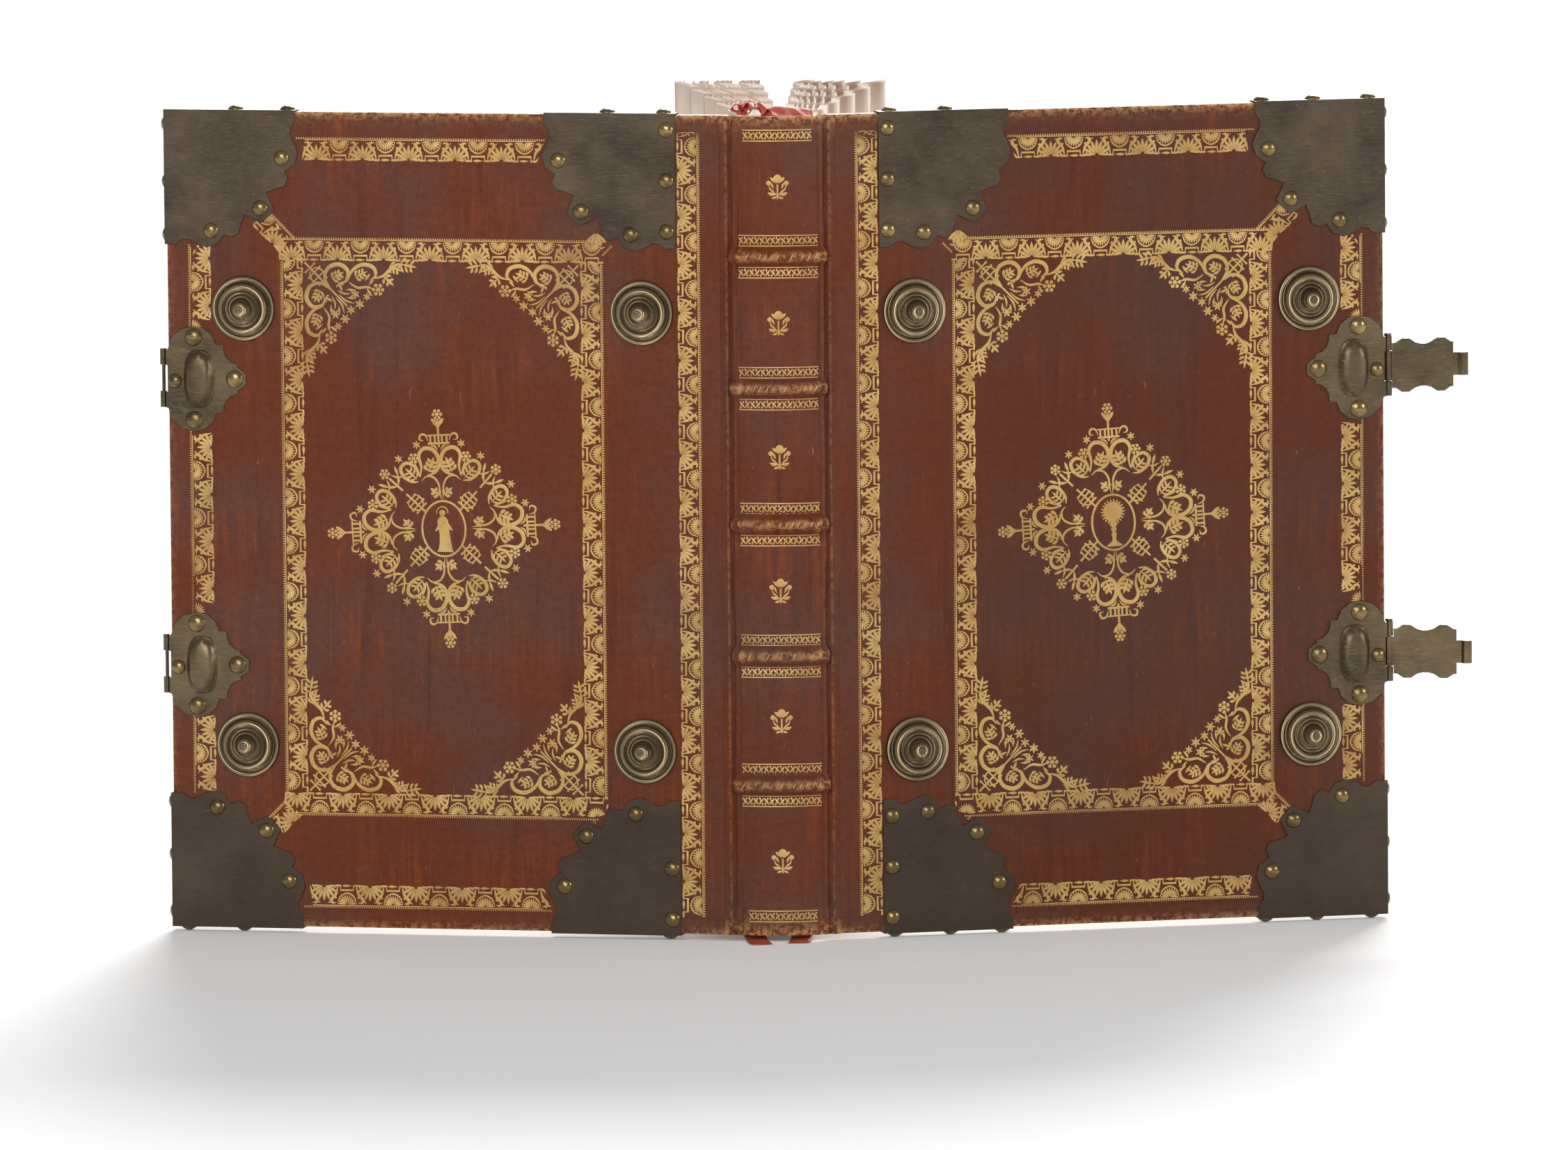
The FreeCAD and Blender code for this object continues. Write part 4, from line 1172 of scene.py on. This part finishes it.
def frameShape():
    tile, roll = rollTile(), tooling["roll"]
    near, far, low, high = frameEdges()
    shape = alongRoll(tile, near, far, (0, high), (1, 0), (0, -1))
    shape += alongRoll(tile, near, far, (0, low), (1, 0), (0, 1))
    shape += alongRoll(tile, low + roll, high - roll, (near, 0), (0, 1), (1, 0))
    shape += alongRoll(tile, low + roll, high - roll, (far, 0), (0, 1), (-1, 0))

    def inFrame(u, v):
        return (u > near) & (u < far) & (v > low) & (v < high)
    # A short piece of roll runs out from each corner under the brass
    short = 1 / sqrt(2)
    for u, outU in ((near, -short), (far, short)):
        for v, outV in ((low, -short), (high, short)):
            origin, out, beside = (u - outV * roll / 2, v + outU * roll / 2), (outU, outV), (outV, -outU)
            strip = alongRoll(tile, -roll / 2, border["diagonal"], origin, out, beside, roll)
            shape += cutAway(strip, inFrame, wholly=True)
    return cutAway(shape, underCorner)


def trophy(x, reach):
    # Crossed tools tied together, along the diagonal
    shape = stroke([(x - reach, x - reach), (x + reach, x + reach)], 0.95)
    for shift, half in ((-0.55, 2.7), (-0.2, 3.4), (0.15, 3.0), (0.5, 2.3)):
        at, bar, end = x + shift * reach, half * 0.7, half * 0.75
        shape += stroke([(at - bar, at + bar), (at + bar, at - bar)], 0.75)
        shape += disc(at - end, at + end, 0.62, 4) + disc(at + end, at - end, 0.62, 4)
    half = crescent([(x - 3.6, x - 0.6), (x - 1.0, x - 3.2), (x + 2.6, x - 2.2), (x + 4.4, x + 0.8)], 0.7)
    return shape + swapped(half)


def fanShape():
    # Scrolls, leaves, flowers and stars that grow from a corner of the frame
    half = crescent([(13.0, 12.6), (10.4, 8.0), (12.2, 3.2), (17.4, 1.6), (21.4, 4.6), (20.6, 9.2),
                     (17.0, 10.4)], 2.0)
    half += sprig(13.8, 8.6, -0.55, 6.6, 3, 1.8) + sprig(17.0, 9.8, 1.2, 4.6, 1, 1.5)
    half += crescent([(21.2, 9.4), (23.6, 4.4), (28.4, 1.6), (33.4, 2.8), (34.8, 6.6), (32.0, 9.0)], 1.9)
    half += sprig(24.8, 7.6, -0.45, 6.6, 3, 1.7) + petal(29.4, 9.2, -0.9, 4.2, 1.3)
    half += crescent([(22.0, 10.0), (26.0, 12.4), (30.4, 12.0), (33.6, 13.0)], 1.2)
    half += blossom(35.8, 13.2, 2.9)
    half += petal(30.6, 12.2, 0.9, 4.6, 1.3, -0.4) + petal(31.4, 11.4, -0.7, 3.6, 1.2, 0.4)
    half += crescent([(34.4, 8.0), (38.6, 6.6), (42.2, 3.2), (45.4, 1.4), (48.0, 1.6)], 1.6)
    half += sprig(38.6, 7.0, 0.75, 6.4, 2, 1.8) + sprig(41.0, 2.2, 0.35, 6.8, 3, 1.6)
    half += sprig(46.0, 1.2, 0.18, 8.4, 3, 1.7)
    half += crescent([(16.6, 13.8), (19.6, 15.2), (22.6, 15.2)], 0.9) + star(24.8, 15.4, 2.4)
    half += crescent([(17.0, 15.6), (20.6, 18.6), (24.4, 19.6)], 0.9) + star(27.0, 20.0, 2.5)
    half += petal(20.4, 13.4, 0.2, 4.4, 1.2, 0.3) + petal(21.0, 17.0, 0.1, 3.6, 1.1)
    half += star(30.4, 16.6, 2.0)
    shape = swapped(half) + trophy(6.6, 5.8)
    shape += stroke([(12.0, 12.0), (21.0, 21.0)], 0.8) + star(22.8, 22.8, 2.3)
    return shape


def fansShape():
    roll = tooling["roll"]
    near, far, low, high = frameEdges()
    quarter = fanShape()
    shape = []
    for u, along in ((near + roll, 1), (far - roll, -1)):
        for v, up in ((low + roll, 1), (high - roll, -1)):
            shape += placed(quarter, u, v, stretch=(along, up))
    return shape


def armShape():
    # One arm of the centre ornament, growing up from the oval
    half = crescent([(0.4, 13.6), (0.8, 17.4), (1.3, 21.0), (3.4, 24.0), (6.8, 24.6), (9.2, 22.6)], 1.0)
    half += sprig(1.0, 15.4, 0.72, 5.6, 2, 2.1)
    half += crescent([(9.6, 24.8), (9.0, 29.4), (9.9, 34.4), (7.4, 37.6), (3.2, 37.0), (0.8, 33.4),
                      (0.8, 28.8), (3.0, 26.0), (6.2, 25.2)], 1.9)
    half += sprig(5.6, 26.4, 1.95, 7.6, 3, 2.2)
    half += crescent([(9.8, 25.2), (11.2, 28.6), (12.1, 31.2)], 1.0) + blossom(12.5, 33.2, 2.5)
    half += crescent([(9.8, 24.4), (12.2, 29.2), (15.9, 31.2), (18.8, 29.0), (17.8, 25.2), (14.0, 22.4),
                      (10.6, 22.2)], 1.7)
    half += sprig(11.4, 23.4, 0.8, 7.4, 3, 1.6)
    half += crescent([(17.8, 25.0), (20.8, 24.8), (23.6, 25.8)], 1.0) + petal(20.0, 24.6, 1.25, 5.6, 1.4)
    half += star(10.6, 39.4, 2.1) + star(19.6, 33.2, 2.1)
    half += stroke([(0.3, 39.8), (5.2, 39.8)], 1.0) + stroke([(0.2, 43.6), (5.4, 43.6)], 0.7)
    half += stroke([(1.7, 40.0), (1.7, 43.6)], 0.9) + stroke([(3.9, 40.0), (3.9, 43.6)], 0.9)
    half += crescent([(5.0, 41.0), (6.2, 43.8), (8.4, 44.0), (9.0, 41.8), (7.2, 41.2)], 1.0)
    half += crescent([(0.7, 36.6), (2.0, 38.4), (4.0, 38.9)], 0.9)
    half += petal(0.3, 47.0, 0.95, 5.2, 1.9, -0.3)
    return mirrored(half) + stroke([(0, 38.0), (0, 51.0)], 0.95) + blossom(0, 53.2, 2.5)


def monstrance():
    # A sun on a knobbed stem and a spreading foot
    shape = disc(0, 4.9, 4.6, 11)
    for i in range(22):
        turn = 2 * pi * i / 22
        shape += petal(4.3 * cos(turn), 4.9 + 4.3 * sin(turn), turn, 1.7, 0.95, count=3)
    heights = (0.4, -1.0, -2.2, -3.2, -4.4, -5.6, -7.2, -8.6, -9.6, -10.6, -11.2)
    widths = (2.6, 4.0, 1.8, 2.9, 1.5, 2.6, 1.6, 2.0, 4.4, 7.2, 7.4)
    return shape + stroke([(0, y) for y in heights], widths)


def drapedFigure():
    # A plain standing figure in a long robe, with a ring of light
    heights = (-10.8, -9.6, -6.4, -2.4, 1.2, 3.6, 5.0, 5.9)
    shape = stroke([(0.4 * sin(y / 4.0), y) for y in heights], (8.0, 6.6, 5.4, 4.8, 4.6, 5.2, 3.8, 1.5))
    shape += disc(0.3, 7.4, 1.45, 7)
    shape += petal(1.9, 4.2, -1.0, 6.0, 1.6, 0.6) + petal(-1.9, 4.2, pi + 1.0, 6.0, 1.6, -0.6)
    ring = np.linspace(-0.2, pi + 0.2, 10)
    return shape + stroke(np.stack([0.3 + 2.7 * np.cos(ring), 7.6 + 2.7 * np.sin(ring)], 1), 0.5)


def centreShape(side):
    around = np.linspace(0, 2 * pi, 41)
    shape = stroke(np.stack([10.3 * np.cos(around), 12.9 * np.sin(around)], 1), 0.95)
    knot = trophy(12.4, 4.4) + blossom(26.6, 26.4, 2.5)
    knot += stroke([(18.4, 18.4), (24.6, 24.4)], 1.0) + swapped(petal(20.6, 20.6, 0.05, 5.0, 1.3, 0.3))
    for quarter in range(4):
        shape += placed(armShape() + knot, angle=quarter * pi / 2)
    shape += monstrance() if side == "front" else drapedFigure()
    near, far, low, high = frameEdges()
    turn = radians(tooling["turn"]) * sideSign[side]
    return placed(shape, (near + far) / 2, (low + high) / 2, turn)


for side in sideSign:
    for name, shape in (("gilt_borders", bordersShape()), ("gilt_frame", frameShape()),
                        ("gilt_fans", fansShape()), ("gilt_centre", centreShape(side))):
        piece = goldMesh(f"{side}_{name}_leaf", side, shape)
        finishPiece(piece, side + "_cover", "gilding", f"{side}_{name}")
print("gilding on the covers ready")


# Gilding on the spine
spineGilt = {
    "offset": 7.4, "height": 4.8, "half": 18.4, "rollLow": 6.5, "rollHeight": 5.0, "rollHalf": 16.0,
    "pitch": 2.4, "edgeProud": 0.05, "proud": 0.15, "linePoints": 13,
}


def spineRoll(level, half, height):
    # A narrow roll of leaves between two lines
    shape = []
    for edge in (-height / 2, height / 2):
        shape += stroke([(-half, level + edge), (half, level + edge)], 0.5)
    count = int(half * 2 / spineGilt["pitch"])
    for i in range(count):
        x = -half + (i + 0.5) * 2 * half / count
        way = 1 if i % 2 else -1
        ends = (x - 1.2, level - way * 1.5), (x + 1.2, level + way * 1.5)
        shape += crescent([ends[0], (x, level - way * 0.2), ends[1]], 0.95)
        shape += petal(x - 0.2, level + way * 0.2, way * 1.9, 1.9, 0.85, 0, 4)
        shape += disc(x + 0.6, level - way * 1.2, 0.5, 3)
    return shape


def spineFlower(level):
    # A bud with two smaller ones on curved stems, and leaves at the foot
    half = crescent([(0.2, level - 4.6), (1.8, level - 2.6), (3.4, level - 1.2), (3.9, level + 0.8)], 0.8)
    half += disc(4.1, level + 1.5, 1.15) + petal(0.3, level - 3.4, 0.25, 4.4, 1.6, 0.5)
    half += petal(0.2, level - 4.4, -0.3, 2.8, 1.1, 0.4) + petal(1.8, level - 1.2, 1.2, 3.2, 1.1)
    shape = mirrored(half) + stroke([(0, level - 5.8), (0, level + 1.0)], 0.8)
    return shape + disc(0, level + 3.6, 1.9, 7) + fan(0, level + 1.0, pi / 2, 1.6, 3, 4.6, 1.5)


def spineGoldMesh(name, shape, node):
    verts, counts = [], []
    for points, widths in shape:
        if len(points) == 2:
            # A straight line gets more points, so that it follows the spine's curve
            share = np.linspace(0, 1, spineGilt["linePoints"])[:, None]
            points = points[0] * (1 - share) + points[1] * share
            widths = np.full(len(points), widths[0])
        counts.append(len(points))
        for at, proud in strokeEdges(points, widths, spineGilt["edgeProud"], spineGilt["proud"]):
            verts.append(spineSurface(at[:, 0], at[:, 1], proud))
    piece = makeMesh(name, np.concatenate(verts) * mm, ribbonFaces(counts), gold, tidy=False)
    finishPiece(piece, "spine_and_leaves", "gilding", node)


spineLines = []
for level in spine["bands"]:
    for way in (-1, 1):
        spineLines += spineRoll(level + way * spineGilt["offset"], spineGilt["half"], spineGilt["height"])
for level in spine["bands"]:
    # Small curved tools across the band, some of them worn away
    for i in range(spine["bandTools"]):
        x = spine["toolStep"] * (i - (spine["bandTools"] - 1) / 2) + rng.uniform(-0.3, 0.3)
        if rng.random() < 0.7:
            spineLines += crescent([(x - 0.7, level - 1.5), (x, level), (x + 0.7, level + 1.5)], 0.45)
rollMiddle = spineGilt["rollLow"] + spineGilt["rollHeight"] / 2
for level in (rollMiddle, board["height"] - rollMiddle):
    spineLines += spineRoll(level, spineGilt["rollHalf"], spineGilt["rollHeight"])
spineGoldMesh("spine_gilt_rolls", spineLines, "spine_gilt_lines")
edges = (0.0,) + spine["bands"] + (board["height"],)
flowers = []
for low, high in zip(edges[:-1], edges[1:]):
    flowers += spineFlower((low + high) / 2)
spineGoldMesh("spine_gilt_flowers", flowers, "spine_gilt_tools")
print("gilding on the spine ready")


# Endbands: thread wound over a core and sewn to the leaves
endband = {"radius": 2.0, "pitch": 1.1, "steps": 6, "around": 12, "taper": 1.2}


def buildEndband(name, node):
    low, high = [np.array(corner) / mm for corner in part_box(node)]
    middle = (low + high) / 2
    xs = np.arange(low[0], high[0] + hair, endband["pitch"] / endband["steps"])
    angles = np.linspace(0, 2 * pi, endband["around"], endpoint=False)
    verts = []
    for x in xs:
        bead = 1 - 0.16 * abs(cos(pi * x / endband["pitch"]))
        size = endband["radius"] * bead
        size *= min(1, 0.4 + 0.6 * sqrt(max(0.0, (high[0] - abs(x)) / endband["taper"])))
        verts += [(x, middle[1] + size * cos(a), middle[2] + size * sin(a)) for a in angles]
    count = len(angles)
    faces = gridFaces(len(xs), count, wrap=True)
    faces += [tuple(range(count)), tuple((len(xs) - 1) * count + i for i in reversed(range(count)))]
    piece = makeMesh(name, np.array(verts) * mm, faces, endThread)
    finishPiece(piece, "spine_and_leaves", "endband_thread", node)


buildEndband("head_band_thread", "head_endband")
buildEndband("tail_band_thread", "tail_endband")


# Ribbons: creased silk, heaped at the head and lying out at the tail
# A head ribbon's line is a list of places across the book, each with its height over the head of the boards
ribbon = {
    "thick": 0.22, "columns": 9, "closedKeep": 0.55, "width": 10.0, "heapWidth": 10.5, "floor": 0.05,
    "ends": (("left_ribbon_end", -12.6, 16.6, 0.35), ("right_ribbon_end", 8.6, 12.0, -0.25)),
    "heap": ((-3.0, -4.0), (-6.0, 1.2), (-9.0, 5.0), (-11.5, 1.6), (-13.0, 5.6), (-16.0, 2.0), (-17.5, 4.8),
             (-20.4, 2.4), (-17.0, 1.0), (-12.0, 0.8)),
    "twist": ((-2.0, -3.0), (-5.0, 3.4), (-8.0, 1.4), (-10.6, 4.2), (-14.6, 3.0), (-15.2, 1.2), (-19.6, 1.2)),
    "fold": ((-6.8, -2.5), (-5.0, -0.4), (0.0, 0.9), (6.0, 0.8), (11.0, 0.5), (15.6, -0.6), (16.4, -2.0)),
}


def ribbonMesh(name, line, across, width, node):
    # The strip's two faces, a hair apart, with a gentle crease along it
    ahead = np.gradient(line, axis=0)
    ahead /= np.linalg.norm(ahead, axis=1, keepdims=True)
    across = np.array(across, float)
    normal = np.cross(ahead, across)
    normal /= np.maximum(np.linalg.norm(normal, axis=1, keepdims=True), 1e-6)
    shares = np.linspace(-1, 1, ribbon["columns"])
    top, bottom = [], []
    for i, (p, n) in enumerate(zip(line, normal)):
        for share in shares:
            crease = 0.35 * sin(i * 0.9 + 2.2 * share) * (1 - share ** 2) + 0.25 * sin(3.0 * share + i * 0.35)
            q = p + across * width / 2 * share + n * crease
            top.append(q + n * ribbon["thick"] / 2)
            bottom.append(q - n * ribbon["thick"] / 2)
    verts = np.array(top + bottom)
    verts[:, 2] = np.maximum(verts[:, 2], ribbon["floor"])
    piece = makeMesh(name, verts * mm, shellFaces(len(line), len(shares)), silk)
    finishPiece(piece, "spine_and_leaves", "ribbon_silk", node)
    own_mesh(piece)


def headRibbon(name, depths, across, width):
    heights = [lift + board["height"] + rise for x, rise in ribbon[name]]
    line = smoothLine([(x, depth, z) for (x, rise), depth, z in zip(ribbon[name], depths, heights)])
    ribbonMesh("head_ribbon_" + name, line, across, width, "head_ribbon")


def buildRibbons():
    width = ribbon["width"]
    depths = [11.5 + 1.2 * sin(x) for x, rise in ribbon["heap"]]
    headRibbon("heap", depths, (0.12, 0.99, 0.05), ribbon["heapWidth"])
    headRibbon("twist", [8.5 + 0.8 * cos(x) for x, rise in ribbon["twist"]], (-0.3, 0.93, 0.2), width)
    headRibbon("fold", [7.0] * len(ribbon["fold"]), (0.0, 0.90, 0.43), width)
    for name, x, reach, lean in ribbon["ends"]:
        route = [(x - 3 * lean, 9.0, leafTail), (x - 2 * lean, 6.4, 3.0), (x, 2.0, 0.9)]
        route += [(x + 3 * lean, -5.0, 0.5), (x + 7 * lean, -reach, 0.45)]
        ribbonMesh(name, smoothLine(route, 7), (1.0, 0.12, 0.0), width, "tail_ribbons")


buildRibbons()
print("endbands and ribbons ready")


# Camera: the view of the photograph, with a long lens
lens = {"distance": 8000.0, "pixelsPerMm": 3.1128, "azimuth": 1.0, "height": 5.874, "roll": -0.461,
        "target": (0.0, 0.0, 192.8), "principal": (1120.7, 755.5), "image": (2253, 1652)}


def placeCamera():
    azimuth, height, roll = (radians(lens[k]) for k in ("azimuth", "height", "roll"))
    ahead = Vector((sin(azimuth) * cos(height), cos(azimuth) * cos(height), -sin(height)))
    right = Vector((cos(azimuth), -sin(azimuth), 0))
    up = right.cross(ahead)
    turnedRight = cos(roll) * right + sin(roll) * up
    turnedUp = -sin(roll) * right + cos(roll) * up
    offX = (lens["image"][0] / 2 - lens["principal"][0]) / lens["pixelsPerMm"]
    offY = (lens["image"][1] / 2 - lens["principal"][1]) / lens["pixelsPerMm"]
    target = Vector(lens["target"]) + offX * turnedRight - offY * turnedUp
    data = bpy.data.cameras.new("camera")
    data.sensor_width = 36.0
    data.lens = data.sensor_width * lens["pixelsPerMm"] * lens["distance"] / lens["image"][0]
    data.clip_end = 100.0
    camera = addObject("camera", data)
    place = (target - ahead * lens["distance"]) * mm
    columns = Matrix((turnedRight, turnedUp, -ahead)).transposed().to_4x4()
    camera.matrix_world = Matrix.Translation(place) @ columns
    bpy.context.scene.camera = camera


placeCamera()


# Studio: a pale floor without an edge in view, one sun behind for the shadow, one in front
studio = {
    "worldLight": 0.33, "floorSize": 30.0, "floorGlow": 0.03,
    "suns": (("backSun", (0.11, 0.80, 0.60), 22.0, 3.50), ("frontSun", (-0.10, -0.90, 0.50), 30.0, 1.22)),
    "lamps": (("softBox", (-0.9, -1.7, 1.2), 0.5, 5.0), ("sideBox", (1.9, -0.7, 0.8), 0.4, 12.0)),
    "aim": (0.0, 0.0, 0.18),
}


def seenDirectly(tree, *rays):
    # 1 where the ray comes from the camera, a mirror or glass
    path = tree.nodes.new("ShaderNodeLightPath")
    share = path.outputs["Is Camera Ray"]
    for ray in rays:
        most = tree.nodes.new("ShaderNodeMath")
        most.operation = "MAXIMUM"
        tree.links.new(share, most.inputs[0])
        tree.links.new(path.outputs[ray], most.inputs[1])
        share = most.outputs[0]
    return share


def addLamp(name, kind, place, **values):
    data = bpy.data.lights.new(name, kind)
    for key, value in values.items():
        setattr(data, key, value)
    lamp = addObject(name, data)
    lamp.location = place
    lamp.rotation_mode = "QUATERNION"
    lamp.rotation_quaternion = (Vector(place) - Vector(studio["aim"])).to_track_quat("Z", "Y")


def buildStudio():
    size = studio["floorSize"]
    recipe = Recipe("paleFloor")
    speckle = recipe.noise(recipe.place(), 40.0, 2.0)
    colour = recipe.mix(speckle, srgb(248, 248, 248), srgb(251, 251, 251))
    seen = seenDirectly(recipe.tree, "Is Glossy Ray", "Is Transmission Ray")
    for name, value in (("Emission Color", (1, 1, 1, 1)), ("Roughness", 0.9), ("Specular IOR Level", 0.1)):
        recipe.even(name, value)
    recipe.link(colour, recipe.shader.inputs["Base Color"])
    glow = recipe.maths("MULTIPLY", seen, studio["floorGlow"])
    recipe.link(glow, recipe.shader.inputs["Emission Strength"])
    corners = [(-size, -size, 0), (size, -size, 0), (size, size, 0), (-size, size, 0)]
    makeMesh("floor", corners, [(0, 1, 2, 3)], recipe.material, smooth=False, tidy=False)
    world = bpy.data.worlds.new("studioWorld")
    world.use_nodes = True
    bpy.context.scene.world = world
    tree = world.node_tree
    strength = tree.nodes.new("ShaderNodeMapRange")
    strength.inputs["To Min"].default_value = studio["worldLight"]
    strength.inputs["To Max"].default_value = 1.0
    tree.links.new(seenDirectly(tree, "Is Transmission Ray"), strength.inputs["Value"])
    background = tree.nodes["Background"]
    background.inputs["Color"].default_value = (1, 1, 1, 1)
    tree.links.new(strength.outputs["Result"], background.inputs["Strength"])
    for name, place, angle, strong in studio["suns"]:
        addLamp(name, "SUN", place, angle=radians(angle), energy=strong)
    for name, place, width, power in studio["lamps"]:
        addLamp(name, "AREA", place, size=width, energy=power)
    bpy.context.scene.view_settings.view_transform = "Standard"


buildStudio()
print("camera and studio ready")

bpy.context.view_layer.update()
